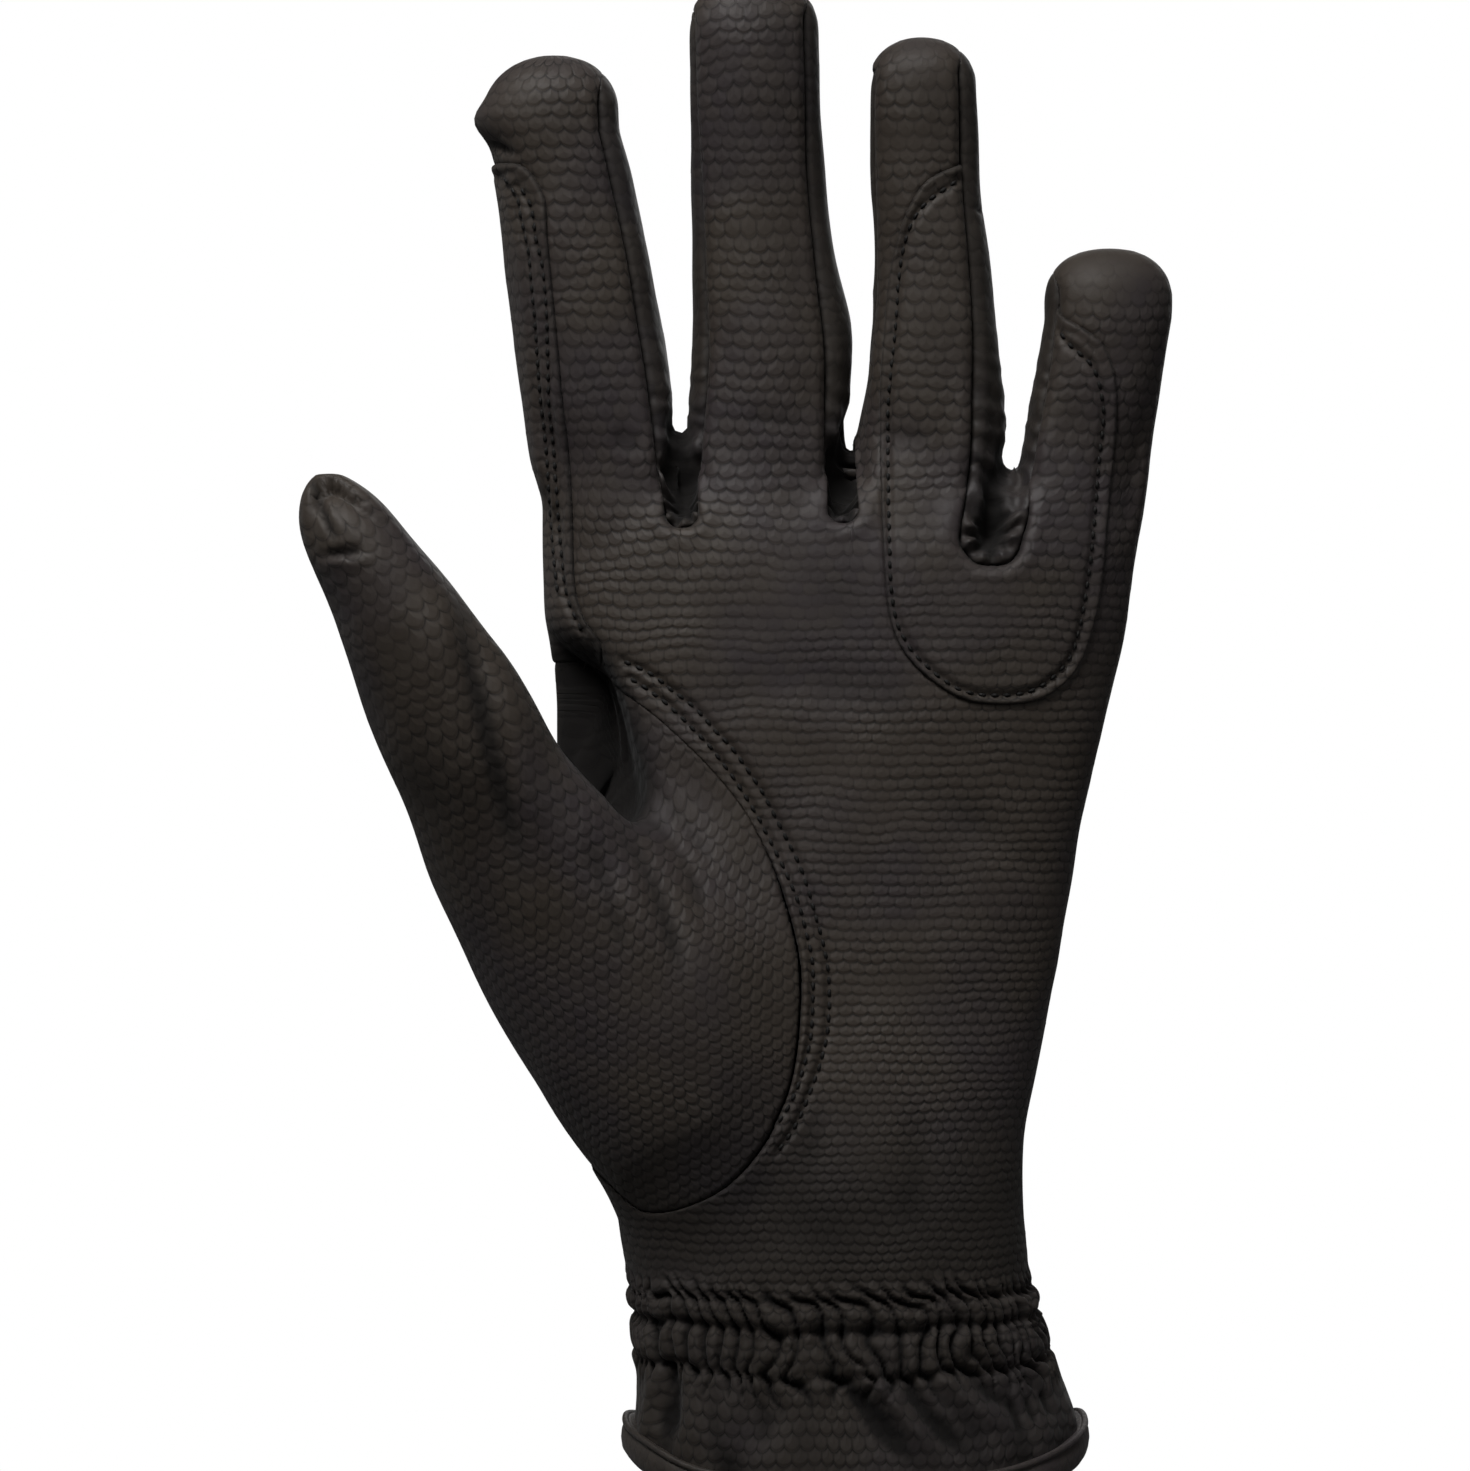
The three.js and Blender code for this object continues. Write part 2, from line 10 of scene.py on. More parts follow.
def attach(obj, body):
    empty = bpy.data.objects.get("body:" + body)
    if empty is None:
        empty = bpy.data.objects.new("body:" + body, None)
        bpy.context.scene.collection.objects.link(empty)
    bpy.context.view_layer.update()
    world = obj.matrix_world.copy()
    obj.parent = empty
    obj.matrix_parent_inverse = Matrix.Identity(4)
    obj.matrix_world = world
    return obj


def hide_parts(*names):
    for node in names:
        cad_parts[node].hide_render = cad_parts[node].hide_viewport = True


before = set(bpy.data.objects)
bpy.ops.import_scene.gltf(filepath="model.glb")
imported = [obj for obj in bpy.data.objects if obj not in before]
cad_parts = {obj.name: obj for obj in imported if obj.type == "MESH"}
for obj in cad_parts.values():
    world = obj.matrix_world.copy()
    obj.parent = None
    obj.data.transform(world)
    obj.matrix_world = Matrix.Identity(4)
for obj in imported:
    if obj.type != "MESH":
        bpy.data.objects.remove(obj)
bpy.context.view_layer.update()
for thing in bpy.context.selected_objects:
    thing.select_set(False)

# Sizes are in millimetres: fingers up +Z, palm towards -Y, thumb at -X
mm = 0.001

# Form
handShape = {
    "cuffHeight": 31.5, "cuffWidth": 67.0, "cuffDepth": 46.0,
    "palmHeight": 123.0, "palmWidth": 92.0, "palmDepth": 27.0, "squareness": 2.5,
    "hemDip": 6.0, "hemCurve": 1.5, "below": -9.0, "levels": 84, "sides": 144,
    # up, left, right, front, back
    "cuff": [(-0.30, -.500, .500, -.500, .500), (0.00, -.500, .500, -.500, .500),
             (0.20, -.499, .497, -.497, .497), (0.37, -.491, .475, -.470, .465),
             (0.61, -.492, .430, -.426, .426), (0.80, -.489, .402, -.410, .412),
             (1.00, -.504, .386, -.402, .406)],
    "palm": [(.035, -.376, .280, -.690, .690), (.090, -.386, .276, -.670, .660),
             (.170, -.400, .278, -.630, .610), (.260, -.424, .301, -.585, .570),
             (.400, -.458, .336, -.530, .530), (.560, -.485, .372, -.500, .515),
             (.720, -.491, .420, -.485, .505), (.850, -.497, .454, -.465, .490),
             (.955, -.500, .468, -.385, .410), (.982, -.470, .430, -.230, .260)],
}
wristLine = handShape["cuffHeight"]
palmHeight = handShape["palmHeight"]
palmWidth = handShape["palmWidth"]
palmDepth = handShape["palmDepth"]
rootLine = wristLine + palmHeight

fingerShape = {
    "squareness": 2.25, "overlap": 26.0, "footInset": 0.93, "footWide": 0.6, "tipShare": 0.82,
    "levels": 60, "tipLevels": 14, "sides": 72,
    # up, lean, fore, wide, deep
    "index": {"root": -.405, "drop": 0, "length": 60.2, "width": 22.8, "depth": 20.4, "rows": [
        (0, .010, 0, .955, 1), (.23, -.021, .004, .945, .98), (.46, -.060, .018, .925, .94),
        (.69, -.096, .042, .865, .88), (.82, -.132, .066, .87, .82)]},
    "middle": {"root": -.146, "drop": 0, "length": 72.2, "width": 24.4, "depth": 21.2, "rows": [
        (0, 0, 0, 1.05, 1), (.20, .010, .003, .955, .97), (.40, -.005, .014, .87, .91),
        (.62, -.020, .036, .817, .84), (.86, -.027, .072, .79, .78)]},
    "ring": {"root": .127, "drop": 0, "length": 63.0, "width": 23.2, "depth": 20.4, "rows": [
        (0, 0, 0, 1.05, 1), (.20, .002, .003, .92, .95), (.40, -.002, .014, .805, .87),
        (.64, -.022, .038, .733, .79), (.86, -.031, .070, .685, .73)]},
    "little": {"root": .354, "drop": 10.5, "length": 42.4, "width": 20.8, "depth": 18.8, "rows": [
        (0, 0, 0, 1, 1), (.28, .044, .006, .985, .98), (.52, .090, .024, .94, .92),
        (.74, .122, .052, .915, .85)]},
}
fingerNames = ["index", "middle", "ring", "little"]

thumbShape = {
    "rise": 119.7, "spread": 80.6, "reach": 31.0, "squareness": 2.15, "levels": 90, "sides": 96,
    # up, outer, inner, front, back
    "rows": [(.010, -.405, -.130, -.480, .420), (.100, -.450, -.090, -.590, .380),
             (.190, -.538, -.080, -.690, .330), (.300, -.637, -.090, -.770, .270),
             (.400, -.715, -.130, -.810, .190), (.500, -.776, -.275, -.850, .090),
             (.590, -.820, -.430, -.920, -.040), (.660, -.862, -.530, -1.00, -.200),
             (.730, -.900, -.587, -1.06, -.330), (.820, -.943, -.677, -1.11, -.420),
             (.945, -1.00, -.830, -1.11, -.620), (.975, -.992, -.880, -1.06, -.720),
             (.994, -.975, -.925, -.980, -.800)],
}


# Smooth curves through the rows of a table, at the given values of its first column; loose ones swing wider
def through(rows, at, loose=False):
    rows = np.array(rows, float)
    t, v = rows[:, 0], rows[:, 1:]
    slope = np.diff(v, axis=0) / np.diff(t)[:, None]
    left = np.vstack([slope[:1], slope])
    right = np.vstack([slope, slope[-1:]])
    product = left * right
    lean = np.where(product > 0, 2 * product / np.where(left + right == 0, 1, left + right), 0)
    lean = lean * 0.5 + (left + right) * 0.25 if loose else lean
    at = np.clip(np.asarray(at, float), t[0], t[-1])
    i = np.clip(np.searchsorted(t, at, side="right") - 1, 0, len(t) - 2)
    h = (t[i + 1] - t[i])[:, None]
    k = ((at - t[i])[:, None]) / h
    return ((2 * k ** 3 - 3 * k ** 2 + 1) * v[i] + (k ** 3 - 2 * k ** 2 + k) * h * lean[i]
            + (3 * k ** 2 - 2 * k ** 3) * v[i + 1] + (k ** 3 - k ** 2) * h * lean[i + 1])


# Across and deep on a rounded square of half width 1
def roundSquare(angle, squareness):
    def bend(q):
        return np.sign(q) * np.abs(q) ** (2 / squareness)

    return bend(np.cos(angle)), bend(np.sin(angle))


def hemLift(angle, height):
    fade = np.maximum(0, 1 - height / wristLine)
    return handShape["hemDip"] * (1 - np.abs(np.sin(angle)) ** handShape["hemCurve"]) * fade


# Rows of up, left, right, front and back as real sizes
def sized(rows, start, high, wide, deep):
    return [(start + up * high, left * wide, right * wide, front * deep, back * deep)
            for up, left, right, front, back in rows]


# left, right, front and back of the hand at the given heights
def handAt(z):
    cuff = sized(handShape["cuff"], 0, wristLine, handShape["cuffWidth"], handShape["cuffDepth"])
    return through(cuff + sized(handShape["palm"], wristLine, palmHeight, palmWidth, palmDepth), z)


def ringsFrom(z, sides, box, squareness, lift=None):
    angle = np.arange(sides) * 2 * math.pi / sides
    ux, uy = roundSquare(angle, squareness)
    x = (box[:, :1] + box[:, 1:2]) / 2 + ux * (box[:, 1:2] - box[:, :1]) / 2
    y = (box[:, 2:3] + box[:, 3:4]) / 2 + uy * (box[:, 3:4] - box[:, 2:3]) / 2
    height = z[:, None] + (lift(angle[None, :], z[:, None]) if lift else 0)
    return np.stack([x, y, np.broadcast_to(height, x.shape)], 2)


def handRings():
    top = wristLine + handShape["palm"][-1][0] * palmHeight
    z = np.linspace(handShape["below"], top, handShape["levels"])
    return ringsFrom(z, handShape["sides"], handAt(z), handShape["squareness"], hemLift)


# x, y, z, half width and half depth of a finger at shares of its length
def fingerAt(name, up):
    f = fingerShape[name]
    up = np.asarray(up, float)
    lean, fore, wide, deep = through(f["rows"], up).T
    return (f["root"] * palmWidth + lean * f["length"], -fore * f["length"],
            rootLine - f["drop"] + up * f["length"], wide * f["width"] / 2, deep * f["depth"] / 2)


def fingerRings(name):
    f = fingerShape[name]
    end = f["rows"][-1][0]
    foot = -fingerShape["overlap"] / f["length"]
    up = np.concatenate([[foot], np.linspace(0, end, fingerShape["levels"])])
    x, y, z, a, b = fingerAt(name, up)
    x[0] *= fingerShape["footInset"]
    a[0] *= fingerShape["footWide"]
    b[0] *= fingerShape["footWide"]
    tipTop = rootLine - f["drop"] + f["length"]
    tipHigh = min(fingerShape["tipShare"] * a[-1], (tipTop - z[-1]) * fingerShape["tipShare"])
    turn = np.linspace(0, math.pi / 2, fingerShape["tipLevels"] + 1)[:-1]
    x = np.concatenate([x, np.full(turn.size, x[-1])])
    y = np.concatenate([y, np.full(turn.size, y[-1])])
    z = np.concatenate([z, tipTop - tipHigh + tipHigh * np.sin(turn)])
    a = np.concatenate([a, a[-1] * np.cos(turn)])
    b = np.concatenate([b, b[-1] * np.cos(turn)])
    box = np.stack([x - a, x + a, y - b, y + b], 1)
    return ringsFrom(z, fingerShape["sides"], box, fingerShape["squareness"])


def thumbAt(z):
    rise, spread, reach = thumbShape["rise"], thumbShape["spread"], thumbShape["reach"]
    return through(sized(thumbShape["rows"], wristLine, rise, spread, reach), z)


def thumbRings():
    rows = thumbShape["rows"]
    z = wristLine + np.linspace(rows[0][0], rows[-1][0], thumbShape["levels"]) * thumbShape["rise"]
    return ringsFrom(z, thumbShape["sides"], thumbAt(z), thumbShape["squareness"])


# A closed skin through rings, capped at both ends
def loft(name, rings):
    levels, sides = rings.shape[:2]
    points = np.vstack([rings.reshape(-1, 3), rings[0].mean(0), rings[-1].mean(0)]) * mm
    i = np.arange(sides)
    j = (i + 1) % sides
    top = (levels - 1) * sides
    walls = [np.stack([i + k, j + k, j + k + sides, i + k + sides], 1) for k in range(0, top, sides)]
    foot = np.stack([j, i, np.full(sides, top + sides)], 1)
    cap = np.stack([i + top, j + top, np.full(sides, top + sides + 1)], 1)
    mesh = bpy.data.meshes.new(name)
    mesh.from_pydata(points.tolist(), [], np.vstack(walls).tolist() + foot.tolist() + cap.tolist())
    mesh.update()
    thing = bpy.data.objects.new(name, mesh)
    bpy.context.collection.objects.link(thing)
    return thing


def choose(*things):
    bpy.ops.object.select_all(action="DESELECT")
    for thing in things:
        thing.select_set(True)
    bpy.context.view_layer.objects.active = things[0]


def applyAll(thing):
    choose(thing)
    for modifier in list(thing.modifiers):
        bpy.ops.object.modifier_apply(modifier=modifier.name)


# Points in millimetres and triangles of a mesh
def meshArrays(mesh):
    points = np.zeros(len(mesh.vertices) * 3)
    mesh.vertices.foreach_get("co", points)
    mesh.calc_loop_triangles()
    tris = np.zeros(len(mesh.loop_triangles) * 3, np.int64)
    mesh.loop_triangles.foreach_get("vertices", tris)
    return points.reshape(-1, 3) / mm, tris.reshape(-1, 3)


# The crotches between the fingers are rounded off within a reach round a place above each
bodyForm = {
    "voxel": 0.8, "smooth": 5, "crotchSmooth": 30, "crotchUp": 9, "crotchSquash": 0.6, "crotchReach": (3, 10),
}

forms = [loft("form", handRings())]
forms += [loft(name, fingerRings(name)) for name in fingerNames]
forms += [loft("thumb", thumbRings())]
choose(*forms)
bpy.ops.object.join()
form = bpy.context.view_layer.objects.active
remesh = form.modifiers.new("voxels", "REMESH")
remesh.mode = "VOXEL"
remesh.voxel_size = bodyForm["voxel"] * mm
applyAll(form)
points, tris = meshArrays(form.data)
bpy.data.objects.remove(form)
print("form", len(points), "points", len(tris), "triangles", points.min(0), points.max(0))


# Mesh tools

# Cuts the chosen edges of a triangle mesh; share is where, from the edge's lower-numbered point
def splitEdges(points, tris, cutTest, shareOf):
    pairs = np.sort(np.stack([tris, np.roll(tris, -1, 1)], 2).reshape(-1, 2), 1)
    key, back = np.unique(pairs[:, 0] * len(points) + pairs[:, 1], return_inverse=True)
    a, b = key // len(points), key % len(points)
    back = back.reshape(-1, 3)
    cut = cutTest(a, b, back)
    share = shareOf(a[cut], b[cut])[:, None]
    number = np.full(len(key), -1)
    number[cut] = len(points) + np.arange(cut.sum())
    points = np.vstack([points, points[a[cut]] * (1 - share) + points[b[cut]] * share])
    marks = cut[back]
    middle = number[back]
    count = marks.sum(1)
    out = [tris[count == 0]]
    for n in (1, 2):
        rows = count == n
        turn = np.argmax(marks[rows] == (n == 1), axis=1)      # first cut edge, or the only whole one
        if n == 2:
            turn = turn + 1
        pick = (np.arange(3) + turn[:, None]) % 3
        t = np.take_along_axis(tris[rows], pick, 1)
        m = np.take_along_axis(middle[rows], pick, 1)
        p, q, r = t.T
        if n == 1:
            out += [np.stack([p, m[:, 0], r], 1), np.stack([m[:, 0], q, r], 1)]
        else:
            u, v = m[:, 0], m[:, 1]
            out += [np.stack([u, q, v], 1), np.stack([p, u, v], 1), np.stack([p, v, r], 1)]
    rows = count == 3
    p, q, r = tris[rows].T
    u, v, w = middle[rows].T
    out += [np.stack(s, 1) for s in ((p, u, w), (u, q, v), (w, v, r), (u, v, w))]
    return points, np.vstack(out)


def refine(points, tris, wanted):
    def cutTest(a, b, back):
        cut = np.zeros(len(a), bool)
        cut[back[wanted].ravel()] = True
        return cut
    return splitEdges(points, tris, cutTest, lambda a, b: np.full(len(a), 0.5))


# Cuts the triangles along the line where the points' values are zero
def cutAlong(points, tris, values, active=None, snap=0.05):
    def cutTest(a, b, back):
        cut = (values[a] * values[b] < 0) & (np.abs(values[a]) > snap) & (np.abs(values[b]) > snap)
        return cut if active is None else cut & active[a] & active[b]
    return splitEdges(points, tris, cutTest, lambda a, b: values[a] / (values[a] - values[b]))


def unit(rows):
    return rows / np.maximum(np.linalg.norm(rows, axis=1), 1e-12)[:, None]


def normalsOf(points, tris):
    a, b, c = points[tris[:, 0]], points[tris[:, 1]], points[tris[:, 2]]
    face = np.cross(b - a, c - a)
    total = np.zeros_like(points)
    for i in range(3):
        for k in range(3):
            total[:, k] += np.bincount(tris[:, i], face[:, k], len(points))
    return unit(total)


def edgesOf(tris):
    pairs = np.sort(np.vstack([tris[:, [0, 1]], tris[:, [1, 2]], tris[:, [2, 0]]]), 1)
    return np.unique(pairs, axis=0)


# Moves each point towards the middle of its neighbours, as far as its share says
def smoothed(points, tris, share, rounds):
    a, b = edgesOf(tris).T
    count = np.bincount(np.concatenate([a, b]), minlength=len(points))
    share = np.broadcast_to(share, len(points))[:, None]
    for _ in range(rounds):
        total = [np.bincount(a, part[b], len(points)) + np.bincount(b, part[a], len(points))
                 for part in points.T]
        points = points * (1 - share) + share * np.stack(total, 1) / np.maximum(count, 1)[:, None]
    return points


# Distance from points to a line, and how far along the line the nearest place is
def lineDistance(p, line):
    line = np.array(line, float)
    best = np.full(len(p), 1e9)
    along = np.zeros(len(p))
    start = 0.0
    for a, b in zip(line[:-1], line[1:]):
        step = b - a
        length = np.linalg.norm(step)
        k = np.clip(((p - a) @ step) / max(length ** 2, 1e-12), 0, 1)
        d = np.linalg.norm(p - a - k[:, None] * step, axis=1)
        near = d < best
        best[near] = d[near]
        along[near] = start + k[near] * length
        start += length
    return best, along


def inside(p, outline):
    result = np.zeros(len(p), bool)
    ring = np.array(outline, float)
    for a, b in zip(ring, np.roll(ring, -1, 0)):
        if a[1] != b[1]:
            over = (a[1] > p[:, 1]) != (b[1] > p[:, 1])
            result ^= over & (p[:, 0] < (b[0] - a[0]) * (p[:, 1] - a[1]) / (b[1] - a[1]) + a[0])
    return result


# Distance to an outline, below zero inside it
def signedDistance(p, outline):
    closed = list(outline) + [outline[0]]
    d, _ = lineDistance(p, closed)
    return np.where(inside(p, outline), -d, d)


def smoothLine(rows, steps):
    rows = np.array(rows, float)
    t = np.arange(len(rows))
    return through(np.column_stack([t, rows]), np.linspace(0, len(rows) - 1, steps), True)


# Slow random swell from a few crossing waves, from -1 to 1
def swell(p, size, seed, count=14):
    dice = np.random.default_rng(seed)
    aim = dice.normal(size=(count, p.shape[1]))
    aim /= np.linalg.norm(aim, axis=1)[:, None]
    pace = 2 * math.pi / (size * dice.uniform(0.75, 1.6, count))
    phase = dice.uniform(0, 2 * math.pi, count)
    return np.sin((p @ aim.T) * pace + phase).sum(1) / math.sqrt(count) * 0.9


# Several swells added up: height, size and seed of each
def swells(p, rows):
    return sum(high * swell(p, size, seed) for high, size, seed in rows)


def ease(x, low, high):
    k = np.clip((x - low) / (high - low), 0, 1)
    return k * k * (3 - 2 * k)


# 1 at zero, falling off smoothly over the given width
def bell(x, wide):
    return np.exp(-(x / wide) ** 2)


# Seams
seamShape = {
    # across in palmWidth and up in palmHeight
    "thumbGap": [(-.640, 1.0), (-.590, .88), (-.535, .79)],
    "thenar": [(-.515, .760), (-.380, .716), (-.270, .650), (-.178, .570), (-.118, .475), (-.088, .375),
               (-.096, .275), (-.140, .185), (-.225, .118), (-.335, .092), (-.410, .130), (-.520, .190)],
    "thumbBack": [(-.515, .760), (-.475, .640), (-.430, .450), (-.385, .280), (-.385, .180), (-.410, .130),
                  (-.520, .190)],
    # up in palmHeight, back in palmDepth
    "split": [(-.60, .10), (.40, .10), (1.00, .13), (1.25, .08), (1.45, .00), (1.75, -.10)],
    # the two fingers, their seams in half widths, the loop's middle and radius in palmWidth,
    # and its depth below the root line
    "crotches": [("index", "middle", (.68, .74), (-.80, -.94), -.283, .027, 10.5),
                 ("middle", "ring", (.72, .84), (-.98, -.95), -.022, .025, 9.8),
                 ("ring", "little", (.44, .73), (-.70, -.86), .217, .052, 16.5)],
    "levels": [.02, .2, .4, .6, .8, .9], "loop": [180, 215, 250, 290, 325, 360],
    "far": 60.0, "top": 300.0,
}


def onPalm(rows):
    rows = np.array(rows, float)
    return np.column_stack([rows[:, 0] * palmWidth, wristLine + rows[:, 1] * palmHeight])


def splitAt(z):
    rows = [(wristLine + up * palmHeight, back * palmDepth) for up, back in seamShape["split"]]
    return through(rows, z)[:, 0]


thenarLine = smoothLine(onPalm(seamShape["thenar"]), 60)
thumbBackLine = smoothLine(onPalm(seamShape["thumbBack"]), 40)


def thumbOutline(line):
    gap = onPalm(seamShape["thumbGap"])
    left, top = -thumbShape["spread"] - seamShape["far"], seamShape["top"]
    return np.vstack([[(left, top), (gap[0, 0], top)], gap, line, [(left, line[-1, 1])]])


def fingerSeam(name, share):
    x, _, z, half, _ = fingerAt(name, seamShape["levels"])
    line = np.column_stack([x + np.interp(seamShape["levels"], (0, .8), share) * half, z])
    return np.vstack([line, [(line[-1, 0], seamShape["top"])]])


def crotchLine(crotch):
    a, b, aSeam, bSeam, at, loop, low = crotch
    down, up = fingerSeam(a, aSeam)[::-1], fingerSeam(b, bSeam)
    radius = loop * palmWidth
    x, z = at * palmWidth, rootLine - low + radius
    turn = np.radians(seamShape["loop"])
    arc = np.column_stack([x + radius * np.cos(turn), z + radius * np.sin(turn)])
    bend = smoothLine(np.vstack([down[-3:], arc, up[:3]]), 60)
    return np.vstack([down[:-3], bend, up[3:]])


crotchLines = [crotchLine(c) for c in seamShape["crotches"]]
thumbFrontOutline = thumbOutline(thenarLine)
thumbBackOutline = thumbOutline(thumbBackLine)

# Camera's view of the glove, its floor and its light
studio = {
    "camera": (-18.0, -650.0, 113.1), "lens": 105.8,        # in millimetres; the floor's size is in metres
    "floorSize": 6.0, "floorHeight": -0.6, "floorColour": (.16, .16, .16, 1), "floorRough": 0.9, "sky": 0.07,
}
eye = np.array(studio["camera"])


# Where the camera sees each point, on the upright plane through the middle of the glove
def seen(p):
    k = -eye[1] / (p[:, 1] - eye[1])
    return np.column_stack([eye[0] + (p[:, 0] - eye[0]) * k, eye[2] + (p[:, 2] - eye[2]) * k])


def flat(p):
    return p[:, [0, 2]]


# Patches and stitched rows

# Outlines as shares: index across in half finger widths and up in finger lengths,
# ringLittle across in palmWidth and up in palmHeight
patchShape = {
    "index": [(-1.40, .750), (-.80, .728), (-.53, .712), (-.38, .669), (-.32, .617), (-.36, .530),
              (-.46, .300), (-.52, .147), (-.50, -.100), (-.45, -.310), (-.34, -.395), (-.12, -.465),
              (-.18, -.500), (-.45, -.520), (-1.40, -.530)],
    "ringLittle": [(.185, 1.357), (.105, 1.325), (.060, 1.240), (.048, 1.140), (.038, 1.030), (.044, .860),
                   (.060, .785), (.110, .735), (.190, .703), (.276, .703), (.352, .740), (.388, .810),
                   (.406, .920), (.420, 1.060), (.400, 1.130), (.330, 1.172)],
    "high": 0.62, "low": 0.1, "round": 0.42, "channelAt": 1.35, "channel": 0.16, "channelWide": 0.5,
    # the edge darkening below is painted shade along the patch's raised edge
    "sunk": 0.35, "sunkEdge": (-0.6, 0.8), "under": 0.15, "sideways": 0.35, "edgeShade": 0.6,
    "edgeShadeWide": 0.3, "flatEnd": (123, 133), "flatShare": 0.3,   # thinner towards the thumb's crotch
}
# dip is the groove that a row of stitches draws, dive how far a stitch's ends bend into the leather
stitchLook = {
    "pitch": 1.9, "long": 1.25, "thick": 0.62, "dip": 0.5, "dipWide": 0.58, "sink": 0.2, "dive": 0.12,
    "reach": 0.45, "longest": 2.5,
}
# As the camera sees them, in millimetres
stitchRows = {
    "thenarOuter": [(-35.0, 124.4), (-30.7, 122.4), (-27.4, 119.9), (-23.9, 117.1), (-21.3, 114.2),
                    (-18.5, 111.3), (-15.9, 107.6), (-13.6, 104.1), (-11.6, 100.2), (-9.6, 96.3),
                    (-7.9, 92.6), (-6.2, 87.1), (-3.9, 76.8), (-4.0, 69.5), (-5.0, 64.4), (-6.5, 60.0),
                    (-8.7, 54.9), (-11.6, 50.5)],
    "thenarInner": [(-34.0, 121.9), (-30.6, 119.7), (-27.7, 117.4), (-24.7, 114.5), (-21.9, 111.6),
                    (-19.3, 108.2), (-16.7, 104.4), (-14.5, 100.7), (-12.4, 96.7), (-10.4, 92.6),
                    (-8.7, 88.6), (-7.6, 84.5), (-6.3, 77.9), (-6.5, 68.7), (-7.7, 63.3), (-9.3, 58.6),
                    (-11.6, 54.6)],
    "ringLittle": [(15.6, 196.7), (10.5, 192.9), (8.0, 188.6), (6.8, 182.9), (6.2, 174.0), (5.0, 161.7),
                   (5.0, 150.7), (5.4, 136.1), (6.5, 129.6), (10.5, 123.8), (17.7, 119.4), (25.1, 119.4),
                   (31.6, 123.8), (33.8, 129.6), (35.6, 141.2), (36.7, 154.4), (37.4, 161.7), (35.9, 168.3),
                   (32.3, 171.9), (30.8, 174.0)],
    "indexInner": [(-50.3, 195.7), (-48.7, 192.9), (-48.2, 190.4), (-47.9, 187.8), (-47.3, 185.5),
                   (-46.8, 183.0), (-46.3, 176.8), (-46.0, 163.5), (-45.4, 157.4), (-44.1, 141.4),
                   (-43.2, 134.3), (-40.9, 128.6)],
    "indexOuter": [(-52.9, 197.3), (-51.8, 195.7), (-50.6, 193.8), (-50.2, 191.5), (-48.9, 185.3),
                   (-48.6, 181.4), (-48.1, 176.3), (-47.2, 163.5), (-46.5, 157.4), (-45.3, 141.4),
                   (-44.6, 134.3)],
}


def indexOutline():
    rows = np.array(patchShape["index"])
    x, _, z, _, _ = fingerAt("index", rows[:, 1])
    line = np.column_stack([x + rows[:, 0] * fingerShape["index"]["width"] / 2, z])
    return smoothLine(line, 60)


patchOutlines = {"index": indexOutline(), "ringLittle": smoothLine(onPalm(patchShape["ringLittle"]), 90)}
stitchLines = {name: smoothLine(row, 160) for name, row in stitchRows.items()}


def rowLift(p, normals):
    view = seen(p)
    near = np.full(len(p), 9.0)
    for line in stitchLines.values():
        near = np.minimum(near, lineDistance(view, line[::3])[0])
    return -stitchLook["dip"] * bell(near, stitchLook["dipWide"]) * ease(-normals[:, 1], 0.0, 0.3)


# Rest form
points = smoothed(points, tris, 0.5, bodyForm["smooth"])
soften = np.zeros(len(points))
for *_, at, loop, low in seamShape["crotches"]:
    up = (points[:, 2] - (rootLine - low + bodyForm["crotchUp"])) * bodyForm["crotchSquash"]
    d = np.hypot(points[:, 0] - at * palmWidth, up)
    soften = np.maximum(soften, 1 - ease(d, *bodyForm["crotchReach"]))
points = smoothed(points, tris, 0.5 * soften, bodyForm["crotchSmooth"])

thumbBlendShape = {
    "line": [(-38.0, 103.5), (-31.0, 98.5), (-24.0, 92.5), (-17.0, 85.0), (-12.0, 76.0), (-9.5, 67.0),
             (-9.0, 58.0), (-13.0, 48.0), (-24.0, 42.0)],
    "core": 5.0, "reach": 12.0, "rounds": 200, "behind": 8.0, "start": 9.0,
}


# Rounds off the crease where the ball of the thumb leaves the palm
def thumbBlend(points):
    look = thumbBlendShape
    d, along = lineDistance(seen(points), smoothLine(look["line"], 40))
    weight = (1 - ease(d, look["core"], look["reach"])) * ease(look["behind"] - points[:, 1], 0, 6)
    weight *= ease(along, 0, look["start"])
    part = (weight > 0)[tris].any(1)
    used, t = np.unique(tris[part], return_inverse=True)
    points[used] = smoothed(points[used], t.reshape(-1, 3), 0.5 * weight[used], look["rounds"])
    return points


# Gaps between the fingers: across, where the joined form ends them, and where they end on the glove
gaps = {
    "rows": [(-26.1, 163.1, 159.4), (-0.3, 163.2, 157.2), (23.7, 158.8, 153.0)], "wide": 2.5, "high": 9.0,
    "drop": 1.08, "rounds": 14, "gain": 1.6, "least": 0.1,
}
for x, z, low in gaps["rows"]:
    near = np.exp(-((points[:, 0] - x) / gaps["wide"]) ** 2 - ((points[:, 2] - z) / gaps["high"]) ** 2)
    points[:, 2] += gaps["drop"] * (low - z) * near
    share = np.clip(gaps["gain"] * near - gaps["least"], 0, 1)[:, None]
    points += (smoothed(points, tris, 0.5, gaps["rounds"]) - points) * share
points = thumbBlend(points)

rootBlendShape = {"at": 152.0, "reach": 9.0, "rounds": 220, "besideSeams": (1.0, 4.5), "facing": (0.35, 0.7)}


